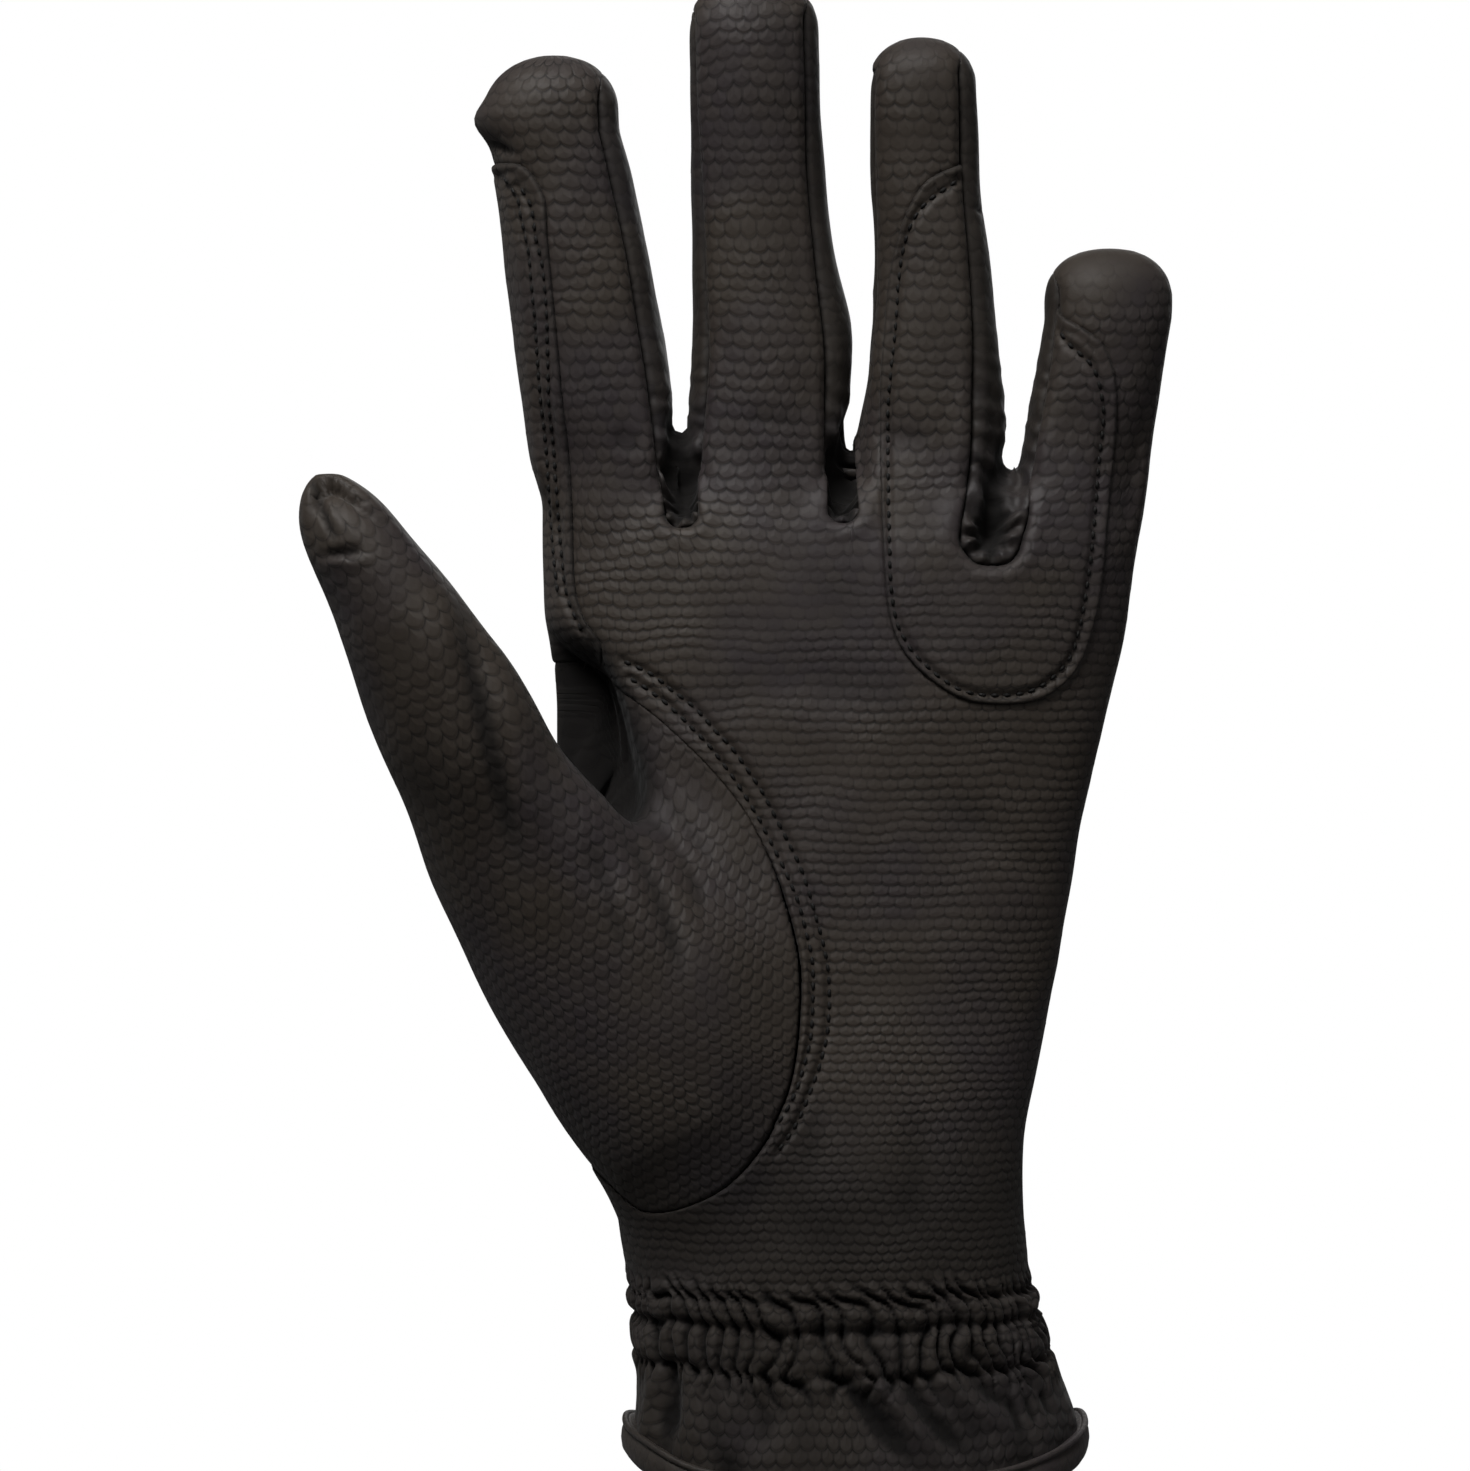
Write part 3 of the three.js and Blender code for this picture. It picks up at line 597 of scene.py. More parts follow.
# Evens out the step where the fingers leave the palm, away from their crotches
def rootBlend(points):
    look = rootBlendShape
    near = np.min([lineDistance(flat(points), line)[0] for line in crotchLines], axis=0)
    share = bell(points[:, 2] - look["at"], look["reach"]) * ease(near, *look["besideSeams"])
    share *= ease(np.abs(normalsOf(points, tris)[:, 1]), *look["facing"])
    return points + (smoothed(points, tris, 0.5, look["rounds"]) - points) * share[:, None]


points = rootBlend(points)

# Fuller places at the sides of the fingers: across, up, reach across and up, and how far they stand out
bulges = [(-1.8, 175.0, 5.0, 9.0, 1.3), (-47.5, 166.0, 6.0, 20.0, -0.9), (-55.5, 204.9, 5.0, 2.4, -1.5)]
turned = normalsOf(points, tris)[:, 0]
for x, z, wide, high, amount in bulges:
    near = np.exp(-((points[:, 0] - x) / wide) ** 2 - ((points[:, 2] - z) / high) ** 2)
    points[:, 0] += amount * near * np.clip(turned * np.sign(amount), 0, 1)
print("rest form", points.min(0), points.max(0))

# Finer triangles beside seams, patches and stitched rows and in the gathers
finer = {"beside": 1.15, "behind": 1.5, "gathers": (15, 35), "away": 9.0}


def seamNearness(points):
    near, _ = lineDistance(flat(points), thenarLine)
    for line in crotchLines:
        near = np.minimum(near, lineDistance(flat(points), line)[0])
    behind = points[:, 1] - splitAt(points[:, 2])
    near = np.where(behind < finer["behind"], near, finer["away"])
    return np.minimum(near, np.abs(behind))


near = seamNearness(points)
for line in patchOutlines.values():
    beside = lineDistance(flat(points), line)[0]
    near = np.minimum(near, np.where(points[:, 1] < 2, beside, finer["away"]))
for line in stitchLines.values():
    beside = lineDistance(seen(points), line[::3])[0]
    near = np.minimum(near, np.where(points[:, 1] < 0, beside, finer["away"]))
gathered = (points[:, 2] > finer["gathers"][0]) & (points[:, 2] < finer["gathers"][1])
points, tris = refine(points, tris, (near[tris].min(1) < finer["beside"]) | gathered[tris].any(1))
print("refined", len(tris))


def hemAngle(p):
    k = handShape["squareness"] / 2
    x, y = p[:, 0] / (handShape["cuffWidth"] / 2), p[:, 1] / (handShape["cuffDepth"] / 2)
    return np.arctan2(np.sign(y) * np.abs(y) ** k, np.sign(x) * np.abs(x) ** k)


hemTop = 1.0                                                   # where the panels end inside the binding


def aboveHem(p):
    return p[:, 2] - hemTop - hemLift(hemAngle(p), 0)


points, tris = cutAlong(points, tris, aboveHem(points))
tris = tris[aboveHem(points)[tris].sum(1) > 0]
points, tris = cutAlong(points, tris, points[:, 1] - splitAt(points[:, 2]))
for outline, front in ((thumbFrontOutline, True), (thumbBackOutline, False)):
    behind = points[:, 1] - splitAt(points[:, 2])
    active = (behind < 0.06) if front else (behind > -0.06)
    points, tris = cutAlong(points, tris, signedDistance(flat(points), outline), active)
for line in [*crotchLines, *patchOutlines.values()]:
    active = points[:, 1] < splitAt(points[:, 2]) + 0.06
    points, tris = cutAlong(points, tris, signedDistance(flat(points), line), active)

# Which piece each triangle is in: 0 palm, 1 back, 2 thumb, 3 and more the side strips
middle = points[tris].mean(1)
behind = middle[:, 1] > splitAt(middle[:, 2])
piece = np.where(behind, 1, 0)
piece[~behind & inside(flat(middle), thumbFrontOutline)] = 2
piece[behind & inside(flat(middle), thumbBackOutline)] = 2
for i, line in enumerate(crotchLines):
    piece[~behind & inside(flat(middle), line) & (piece == 0)] = 3 + i
print("pieces", np.bincount(piece))


# Folds and seams in the leather

# Lines are given as the camera sees them: millimetres across and up on the plane through the glove
gathers = {
    "rows": [30.6, 26.2, 19.4], "pinch": 1.05, "pinchWide": 0.75, "pitch": 3.15, "pucker": 0.66,
    "bulge": 0.55, "lean": 0.13, "fadeUp": 3.4, "fadeDown": 5.5, "radius": 30.0, "followHem": 0.7,
    "uneven": 0.35,
    "rowSwell": [(0.45, 17, 5), (0.25, 6, 6)],             # height, size and seed of each swell
    "flare": 0.35, "flareSize": 9, "sharp": 3.2, "cut": 2.3,
}
# points, width and depth; a negative depth is a ridge
folds = [
    # soft valley down the middle of the thumb
    ([(-59.5, 137.0), (-57.4, 126.0), (-55.2, 114.0), (-53.0, 103.0), (-50.0, 92.0)], 2.6, 1.3),
    ([(-63.0, 134.0), (-61.5, 124.0), (-59.5, 113.0), (-57.0, 101.0)], 3.2, -0.5),
    ([(-54.6, 128.0), (-52.0, 117.0), (-49.5, 106.0), (-46.5, 95.0)], 2.6, -0.6),
    # folds from the thumb's crotch into the ball of the thumb
    ([(-33.5, 104.5), (-28.5, 98.5), (-24.5, 92.0), (-22.0, 85.0)], 1.5, 1.0),
    ([(-36.5, 101.0), (-31.0, 93.0), (-27.5, 84.0), (-26.0, 75.0)], 1.9, 0.9),
    ([(-34.0, 108.0), (-29.0, 103.5), (-23.5, 97.0), (-20.0, 91.0)], 1.1, 0.55),
    ([(-40.0, 98.0), (-36.5, 88.0), (-34.5, 78.0)], 2.0, 0.6),
    ([(-31.5, 101.0), (-26.5, 95.0), (-23.0, 87.5)], 1.2, -0.5),
    # folds in the hollow between thumb and index finger
    ([(-38.6, 124.4), (-36.0, 119.0), (-34.8, 112.0), (-33.0, 107.5), (-31.5, 103.0)], 0.7, 0.7),
    ([(-36.4, 122.0), (-33.4, 117.5), (-32.6, 111.5), (-31.0, 107.0)], 0.6, 0.5),
    ([(-41.5, 122.0), (-39.5, 115.0), (-38.6, 108.0)], 0.9, -0.8),
    # thumb tip seam and the tuck under it
    ([(-82.0, 152.5), (-80.6, 148.5), (-79.0, 144.5), (-77.6, 141.6)], 0.42, 1.0),
    ([(-79.8, 140.4), (-76.8, 140.6), (-74.0, 141.0)], 0.6, 0.9),
    ([(-80.0, 138.9), (-76.0, 139.0), (-73.0, 139.6)], 0.8, -0.35),
    # flare of the cuff
    ([(-27.9, 20.4), (-27.6, 15.5), (-27.9, 7.0)], 1.5, 1.7),
    ([(-29.6, 19.0), (-30.8, 10.0), (-31.4, 5.0)], 1.3, -1.3),
    ([(-24.6, 18.6), (-23.6, 12.0), (-23.0, 5.0)], 2.0, -0.7),
    ([(-0.5, 20.4), (3.5, 15.0), (10.0, 7.5), (13.0, 3.0)], 1.3, -1.5),
    ([(-3.0, 17.5), (2.0, 11.6), (8.0, 5.0)], 1.5, 1.6),
    ([(6.0, 18.0), (11.0, 11.0), (17.0, 5.0)], 1.2, 1.1),
    ([(11.0, 18.4), (16.5, 13.0), (23.0, 8.4)], 1.3, -1.2),
    ([(15.0, 19.0), (20.0, 14.5), (26.0, 11.0)], 1.1, 0.9),
    ([(-12.0, 17.0), (-13.5, 10.0), (-14.0, 4.0)], 2.2, 0.8),
    ([(-18.0, 16.0), (-18.6, 9.0), (-18.0, 4.0)], 2.0, -0.6),
    ([(23.6, 13.5), (25.2, 8.2)], 0.7, 0.8),
    ([(25.8, 14.0), (27.6, 9.2)], 0.7, 0.8),
    ([(28.0, 15.0), (29.8, 10.8)], 0.7, 0.8),
    # palm and fingers
    ([(-8.0, 70.0), (-6.0, 56.0), (-8.0, 44.0)], 3.0, 0.5),
    ([(10.0, 60.0), (9.0, 48.0), (6.0, 38.0)], 3.5, 0.5),
    ([(-37.0, 158.0), (-31.0, 156.5)], 1.6, 0.35),
    ([(-17.0, 161.0), (-8.0, 160.0)], 1.6, 0.3),
    ([(3.0, 158.5), (12.0, 157.5)], 1.6, 0.3),
    ([(-25.0, 118.0), (-10.0, 121.0), (5.0, 119.0)], 4.0, 0.35),
    ([(14.0, 104.0), (24.0, 96.0), (30.0, 90.0)], 3.0, 0.4),
    # tuck beside the ring finger's tip and the step at the index tip
    ([(18.0, 192.4), (20.5, 191.8)], 0.45, 0.6),
    ([(-58.5, 202.3), (-54.5, 202.0), (-51.0, 200.3)], 0.6, 1.0),
]
# Pocket between thumb and index finger, and the painted shade in it
pocket = {
    "across": -40.4, "up": 113.8, "wide": 5.2, "high": 11.5, "lean": -0.30, "deep": 9.0, "from": (-19, -14),
    "shadeWide": 1.4, "shadeHigh": 1.15, "shade": 1.7, "shadeMost": 1.1,
}
seamLook = {
    "groove": 0.62, "grooveWide": 0.36, "valley": 0.28, "valleyWide": 1.15,
    "shoulder": 0.2, "shoulderAt": 1.7, "shoulderWide": 0.8, "edgeTurn": 0.35,
    "lapHigh": 0.45, "lapLow": 0.35, "lapReach": 6.0, "lapGroove": 0.5,
    "tips": (0.05, 0.45), "tipFade": 0.9,                   # seams lie flat over the fingertips
}
# The seam round the ball of the thumb all but vanishes at its top and fades at its foot
thumbSeam = {
    "topFade": (101, 88), "topLeast": 0.12, "footFade": (43, 53), "footLeast": 0.35, "innerFrom": -34.0,
    "innerShare": 0.3, "reach": (3, 7),
}
leatherSwell = [(0.22, 26, 11), (0.12, 11, 12)]             # height, size and seed of each swell


# How far a place is inside the pocket, from 0 to 1
def pocketShare(view, wider=1, higher=1):
    across = view[:, 0] - pocket["across"] - pocket["lean"] * (view[:, 1] - pocket["up"])
    up = (view[:, 1] - pocket["up"]) / pocket["high"] / higher
    return np.exp(-np.abs(across / pocket["wide"] / wider) ** 3 - np.abs(up) ** 4)


def foldLift(p, normals):
    view = seen(p)
    front = ease(-normals[:, 1], -0.05, 0.25)
    lift = np.zeros(len(p))
    for line, wide, depth in folds:
        line = smoothLine(line, 24) if len(line) > 2 else np.array(line)
        length = np.linalg.norm(np.diff(line, axis=0), axis=1).sum()
        box = (view[:, 0] > line[:, 0].min() - 4 * wide) & (view[:, 0] < line[:, 0].max() + 4 * wide)
        box &= (view[:, 1] > line[:, 1].min() - 4 * wide) & (view[:, 1] < line[:, 1].max() + 4 * wide)
        at = np.flatnonzero(box)
        d, along = lineDistance(view[at], line)
        taper = 0.15 + 0.85 * ease(np.minimum(along, length - along), -0.02 * length, 0.3 * length)
        lift[at] -= depth * bell(d, wide) * taper * front[at]
    return lift - pocket["deep"] * pocketShare(view) * front * ease(p[:, 1], *pocket["from"])


# Distance round the cuff from its middle line at the front
def roundTheCuff(p):
    turn = np.mod(hemAngle(p) + math.pi / 2 + math.pi, 2 * math.pi) - math.pi
    return turn * gathers["radius"]


# Puckers between the drawn rows of the wrist, and the cuff's flare below them
def gatherLift(p):
    look = gathers
    rows = look["rows"]
    z = p[:, 2] - hemLift(hemAngle(p), p[:, 2]) * look["followHem"]
    u = roundTheCuff(p)
    z = z + swells(np.column_stack([u, u * 0]), look["rowSwell"])
    around = 2 * math.pi * look["radius"]
    pitch = around / round(around / look["pitch"])
    wander = 0.4 * swell(np.column_stack([u, z * 1.6]), 16, 3) + 0.24 * swell(np.column_stack([u, z]), 6, 4)
    lean = look["lean"] * (z - rows[1]) * (0.3 + 0.7 * ease(z, 24, 27)) * ease(z, 8, 22)
    phase = u / pitch + lean + wander
    for row in (rows[0], rows[2]):                          # puckers are set off by half across these rows
        phase = phase + 0.5 * ease(z, row - 0.8, row + 0.8)
    valley = np.abs(2 * (phase - np.floor(phase)) - 1)
    ridge = 1 - look["cut"] * valley ** look["sharp"]
    strength = ease(z, rows[0] + look["fadeUp"], rows[0]) * ease(z, rows[2] - look["fadeDown"], rows[2])
    uneven = 1 + look["uneven"] * np.sin(np.floor(phase) * 12.9898 + np.floor(z / 5) * 3.1)
    lift = look["pucker"] * ridge * strength * uneven
    for row in rows:
        lift -= look["pinch"] * bell(z - row, look["pinchWide"]) * (0.35 + 0.75 * valley ** 1.5)
    for low, high in zip(rows[1:], rows[:-1]):
        lift += look["bulge"] * np.sin(math.pi * np.clip((z - low) / (high - low), 0, 1))
    flare = swell(np.column_stack([u, z * 0.35]), look["flareSize"], 8)
    return lift + look["flare"] * flare * ease(z, 16, 10) * ease(z, 0, 4)


def seamStrength(p):
    look = thumbSeam
    fade = look["topLeast"] + (1 - look["topLeast"]) * ease(p[:, 2], *look["topFade"])
    fade *= look["footLeast"] + (1 - look["footLeast"]) * ease(p[:, 2], *look["footFade"])
    fade = np.where(p[:, 0] < look["innerFrom"], look["innerShare"], fade)
    near = lineDistance(flat(p), thenarLine)[0]
    mix = (1 - ease(near, *look["reach"])) * (p[:, 1] < splitAt(p[:, 2]) - 0.5)
    return 1 + (fade - 1) * mix


# Painted shade where the leather is tucked far in: the pocket, the crotch funnels and their slits, and over
# the wrist and cuff
def paintedShade(p, normals, kind):
    view = seen(p)
    depth = pocket["shade"] * pocketShare(view, pocket["shadeWide"], pocket["shadeHigh"])
    depth = np.minimum(depth, pocket["shadeMost"])
    if kind == 2:
        depth = depth * ease(p[:, 1], -21, -17)
    if kind > 0:
        depth = depth * ease(-normals[:, 1], -0.3, 0.1)
    if kind > 2:
        d, turn, slit = crotchPlace(p, kind - 3)
        depth = np.maximum(depth, np.maximum(np.exp(-(d / stripShape["shadeWide"]) ** 4), 0.9 * slit))
    # painted shade over the wrist and the cuff
    cuff = cuffShade["most"] * ease(-view[:, 1], *cuffShade["fade"])
    return np.maximum(depth, cuff * (0.75 + 0.25 * ease(view[:, 1], 30, 38)))


cuffShade = {"most": 0.62, "fade": (-66, -40)}              # painted shade: the wrist and the cuff are painted darker than the palm, where less light falls


# Lift of a piece's points along the normals, in millimetres
def leatherLift(p, normals, kind):
    look = seamLook
    lift = foldLift(p, normals) + swells(p, leatherSwell)
    if kind != 2:
        lift += gatherLift(p) * ease(p[:, 2], 44, 38)
    behind = p[:, 1] - splitAt(p[:, 2])
    inThumb = inside(flat(p), thumbFrontOutline) | inside(flat(p), thumbBackOutline)
    near = np.where(inThumb, finer["away"], np.abs(behind))
    for line in crotchLines:
        near = np.minimum(near, np.where(behind < 0.3, lineDistance(flat(p), line)[0], finer["away"]))
    sewn = 1 - look["tipFade"] * ease(normals[:, 2], *look["tips"])
    lift -= sewn * look["groove"] * bell(near, look["grooveWide"])
    lift -= sewn * look["valley"] * bell(near, look["valleyWide"])
    lift += sewn * look["shoulder"] * bell(near - look["shoulderAt"], look["shoulderWide"])
    frontLap, backLap = (signedDistance(flat(p), line) for line in (thumbFrontOutline, thumbBackOutline))
    lap = np.abs(np.where(behind < 0, frontLap, backLap))
    wide = look["lapGroove"]
    strength = seamStrength(p)
    if kind == 2:
        lift -= (look["lapLow"] * np.exp(-lap / look["lapReach"]) + 0.5 * bell(lap, wide)) * strength
    elif kind in (0, 1):
        edge = np.sqrt(np.clip(lap / wide, 0, 1))
        lift += look["lapHigh"] * np.exp(-lap / look["lapReach"]) * edge * strength
    if kind > 2:
        lift += stripLift(p, kind - 3)
    return lift


# Funnel at the bottom of each crotch; lean is that of the slit above it, crotch by crotch
stripShape = {
    "pit": 3.6, "pitWide": 2.9, "up": 5.4, "wrinkle": 0.85, "rays": 8, "rayAt": 3.1, "rayWide": 1.8,
    "slit": 1.5, "slitWide": 1.5, "lean": [-0.05, 0.13, 0.2], "drawn": 0.22, "shadeWide": 2.7,
}


# Distance from the middle of a crotch's funnel, the turn round it, and the slit that runs up from it
def crotchPlace(p, i):
    *_, at, loop, low = seamShape["crotches"][i]
    x, z = p[:, 0] - at * palmWidth, p[:, 2] - (rootLine - low) - stripShape["up"] * (loop / 0.052) ** 0.3
    slit = np.exp(-np.abs((x - stripShape["lean"][i] * z) / stripShape["slitWide"]) ** 3)
    slit *= ease(z, -4, 0) * ease(-z, -16, -9)
    return np.hypot(x * 1.15 - 0.12 * z, z * np.where(z > 0, 0.42, 0.85)), np.arctan2(x, -z), slit


# The strip between two fingers sinks towards the bottom of its crotch and is puckered round it
def stripLift(p, i):
    look = stripShape
    d, turn, slit = crotchPlace(p, i)
    x, z = p[:, 0], p[:, 2]
    rays = np.cos(turn * look["rays"] + 1.3 * i + 1.1 * swell(p, 5, 20 + i))
    rays *= bell(d - look["rayAt"], look["rayWide"])
    drawn = np.sin((z + 0.45 * x) * 1.7 + 1.5 * swell(p, 6, 60 + i)) * bell(z - rootLine, 13)
    sunk = look["pit"] * bell(d, look["pitWide"]) + look["slit"] * slit
    return (look["wrinkle"] * rays + look["drawn"] * drawn) * ease(-p[:, 1], -2, 3) - sunk


# Closed leather pieces
leatherWall = {"thick": 0.8, "least": 0.45, "innerShare": 0.25, "even": 8}   # least is its thinnest


def rimOf(t):
    pairs = np.vstack([t[:, [0, 1]], t[:, [1, 2]], t[:, [2, 0]]])
    size = t.max() + 1
    key = pairs[:, 0] * size + pairs[:, 1]
    other = pairs[:, 1] * size + pairs[:, 0]
    return pairs[~np.isin(key, other)]


def meshFrom(name, p, t, pattern=None, marks=None):
    mesh = bpy.data.meshes.new(name)
    mesh.vertices.add(len(p))
    mesh.vertices.foreach_set("co", (p * mm).ravel())
    mesh.loops.add(len(t) * 3)
    mesh.loops.foreach_set("vertex_index", t.ravel())
    mesh.polygons.add(len(t))
    mesh.polygons.foreach_set("loop_start", np.arange(0, len(t) * 3, 3))
    mesh.update(calc_edges=True)
    if pattern is not None:
        layer = mesh.uv_layers.new(name="scales")
        layer.data.foreach_set("uv", pattern[t.ravel()].ravel())
        for label, values in marks.items():
            mesh.attributes.new(label, "FLOAT", "POINT").data.foreach_set("value", values)
    mesh.shade_smooth()
    thing = bpy.data.objects.new(name, mesh)
    bpy.context.collection.objects.link(thing)
    return thing


# Inner wall with few triangles, its rim left as it is
def thinned(p, t, rimPoints):
    thing = meshFrom("inner", p, t)
    group = thing.vertex_groups.new(name="loose")
    near = np.zeros(len(p), bool)
    near[rimPoints] = True
    for _ in range(3):
        near[t[near[t].any(1)].ravel()] = True
    group.add(np.flatnonzero(~near).tolist(), 1.0, "REPLACE")
    decimate = thing.modifiers.new("fewer", "DECIMATE")
    decimate.ratio = leatherWall["innerShare"]
    decimate.vertex_group = "loose"
    applyAll(thing)
    q, s = meshArrays(thing.data)
    bpy.data.objects.remove(thing)
    return q, s


# Pushes the thinned wall in wherever its points or the middles of its triangles come near the skin
def keptUnder(q, s, outer, t, fixed):
    skin = BVHTree.FromPolygons(outer.tolist(), t.tolist())
    loose = np.ones(len(q), bool)
    loose[fixed] = False

    def depths(places):
        out = np.zeros(len(places))
        aims = np.zeros((len(places), 3))
        for i, place in enumerate(places):
            at, normal = skin.find_nearest(Vector(place))[:2]
            out[i], aims[i] = (Vector(place) - at).dot(normal), normal
        return out, aims

    depth, aims = depths(q)
    q[loose] -= (aims * np.clip(depth + leatherWall["least"], 0, 1)[:, None])[loose]
    for _ in range(2):
        depth, _ = depths(q[s].mean(1))
        short = np.clip(depth + leatherWall["least"] * 0.4, 0, 0.5)
        push = np.zeros(len(q))
        np.maximum.at(push, s.ravel(), np.repeat(short, 3))
        q[loose] -= (aims * push[:, None])[loose]
    return q


# A closed piece: outer sheet, inner sheet and the wall between their rims
def closedPiece(name, outer, inner, t, pattern, marks, thin=True):
    rim = rimOf(t)
    wallLow = rim + len(outer)
    walls = np.vstack([np.column_stack([rim[:, 1], rim[:, 0], wallLow[:, 0]]),
                       np.column_stack([rim[:, 1], wallLow[:, 0], wallLow[:, 1]])])
    if thin:
        rimPoints = np.unique(rim)
        q, s = thinned(inner, t[:, ::-1], rimPoints)
        tree = KDTree(len(q))
        for i, place in enumerate(q):
            tree.insert(place, i)
        tree.balance()
        lowOf = np.full(len(outer), -1)
        lowOf[rimPoints] = [tree.find(inner[i])[1] for i in rimPoints]
        low = walls >= len(outer)
        walls[low] = lowOf[walls[low] - len(outer)] + len(outer)
        q = keptUnder(q, s, outer, t, lowOf[rimPoints])
    else:
        q, s = inner, t[:, ::-1]
    p = np.vstack([outer, q])
    allTris = np.vstack([t, walls, s + len(outer)])
    pattern = np.vstack([pattern, q[:, [0, 2]]])
    marks = {label: np.concatenate([values, np.zeros(len(q))]) for label, values in marks.items()}
    return meshFrom(name, p, allTris, pattern, marks)


# Painted shade in creases: how deep each place lies beside its surroundings, from 0 to 1, with the painted
# pit shade added
def creaseShade(lift, t, pit):
    around = smoothed(lift[:, None], t, 0.5, 30)[:, 0]
    return np.clip((around - lift) / 0.55, 0, 1) * 0.8 + np.clip(pit, 0, 1)


# Where the scale rows run
scaleRows = {
    "cell": 2.45, "fingerRow": 2.15, "thumbCell": 1.9, "thumbRow": 1.6, "thumbGrow": 0.4,
    "thumbAim": (-0.52, 0.85), "arch": 0.45,
    # up, width of a scale, height of a row, arch of its lower edge
    "hand": [(-10, 2.0, 2.2, .36), (18, 1.95, 2.1, .36), (34, 1.85, 1.4, .36), (60, 1.95, 1.45, .3),
             (90, 2.15, 1.6, .2), (130, 2.25, 1.7, .2), (150, 2.55, 2.1, .33), (240, 2.55, 2.1, .33)],
    # height, size and seed of the swells that bend the rows, across and up
    "across": [(0.4, 15, 31), (0.16, 7, 32)], "up": [(0.22, 13, 33), (0.1, 6, 34)],
}


# Distance round a rounded-square section from the middle of its front
def roundDistance(x, y, a, b, squareness):
    angle = np.arctan2(x / a, -y / b)
    sx, sy = roundSquare(np.linspace(0, math.pi, 600) - math.pi / 2, squareness)
    length = np.concatenate([[0], np.cumsum(np.hypot(np.diff(sx), np.diff(sy) * np.median(b / a)))])
    return np.sign(angle) * np.interp(np.abs(angle), np.arctan2(sx, -sy), length) * a


def scalePattern(p, kind):
    z = p[:, 2]
    if kind == 2:
        aim = scaleRows["thumbAim"]
        low, high = (wristLine + thumbShape["rows"][k][0] * thumbShape["rise"] for k in (1, -3))
        box = thumbAt(np.clip(z, low, high))
        x, y = box[:, :2].mean(1), box[:, 2:].mean(1)
        a, b = (box[:, 1] - box[:, 0]) / 2, (box[:, 3] - box[:, 2]) / 2
        x = x + roundDistance(p[:, 0] - x, p[:, 1] - y, a, b, thumbShape["squareness"]) - p[:, 0]
        onThumb = ease(box[:, 1] - p[:, 0], -4, 0) * ease(z, 94, 104)
        x = p[:, 0] + x * np.where(p[:, 0] < box[:, :2].mean(1), 1, onThumb)
        u = x * aim[1] - z * aim[0]
        along = p[:, 0] * aim[0] + z * aim[1]
        up = np.linspace(-20, 220, 500)
        size = 1 + scaleRows["thumbGrow"] * ease(up, 70, 125)
        row = np.interp(along, up, np.cumsum((up[1] - up[0]) / size)) / scaleRows["thumbRow"]
        cell = scaleRows["thumbCell"] * np.interp(along, up, size)
        arch = np.full(len(p), scaleRows["arch"])
    elif kind > 2:
        u, row, cell = p[:, 1], z / scaleRows["fingerRow"], scaleRows["cell"]
        arch = np.full(len(p), scaleRows["arch"])
    else:
        box = handAt(z)
        middleX, middleY = box[:, :2].mean(1), box[:, 2:].mean(1)
        a, b = (box[:, 1] - box[:, 0]) / 2, (box[:, 3] - box[:, 2]) / 2
        side = 1 if kind == 0 else -1
        y = (p[:, 1] - middleY) * side
        u = middleX + roundDistance(p[:, 0] - middleX, y, a, b, handShape["squareness"])
        fingerU = u.copy()
        best = np.full(len(p), 1e9)
        for name in fingerNames:
            f = fingerShape[name]
            up = (z - rootLine + f["drop"]) / f["length"]
            x, y, _, fa, fb = fingerAt(name, np.clip(up, 0, 1))
            d = np.abs(p[:, 0] - x) / fa
            v = roundDistance(p[:, 0] - x, (p[:, 1] - y) * side, fa, fb, fingerShape["squareness"])
            v += f["root"] * palmWidth
            nearer = d < best
            best[nearer] = d[nearer]
            fingerU[nearer] = v[nearer]
        k = ease(z, rootLine - 20, rootLine)
        u = u * (1 - k) + fingerU * k
        hand = np.array(scaleRows["hand"])
        up = np.linspace(hand[0, 0], hand[-1, 0], 500)
        count = np.cumsum((up[1] - up[0]) / np.interp(up, hand[:, 0], hand[:, 2]))
        row = np.interp(z, up, count)
        cell = np.interp(z, hand[:, 0], hand[:, 1])
        arch = np.interp(z, hand[:, 0], hand[:, 3])
    u = u + swells(p, scaleRows["across"])
    row = row + swells(p, scaleRows["up"])
    return np.column_stack([u / cell, row]), arch


pressShape = {
    "usual": 0.85, "swell": [(0.2, 34, 51), (0.22, 8, 52)], "strips": 0.75, "wrist": 0.35,
    # worn smooth: across, up, reach across and up, and how much
    "worn": [(38.0, 184.0, 9.0, 6.5, 0.8), (8.0, 216.0, 9.0, 5.0, 0.3), (-78.0, 150.5, 11.0, 6.0, 1.1),
             (-12.0, 132.0, 22.0, 9.0, 0.25)],
}


# How clearly the scales are pressed into the leather; this also sets the strength of their painted shadow
def pressed(p, kind):
    press = np.clip(pressShape["usual"] + swells(p, pressShape["swell"]), 0.35, 1.1)
    for x, z, wide, high, worn in pressShape["worn"]:
        press -= worn * np.exp(-((p[:, 0] - x) / wide) ** 2 - ((p[:, 2] - z) / high) ** 2)
    press += pressShape["wrist"] * ease(-p[:, 2], -80, -50)
    return np.clip(press, 0.08, 1.4) * (pressShape["strips"] if kind > 2 else 1)


# Materials
def shaderGroup(name, inputs, outputs):
    group = bpy.data.node_groups.new(name, "ShaderNodeTree")
    for label, kind, value in inputs:
        socket = group.interface.new_socket(name=label, in_out="INPUT", socket_type="NodeSocket" + kind)
        if value is not None:
            socket.default_value = value
    for label, kind in outputs:
        group.interface.new_socket(name=label, in_out="OUTPUT", socket_type="NodeSocket" + kind)
    return group, group.nodes.new("NodeGroupInput"), group.nodes.new("NodeGroupOutput")


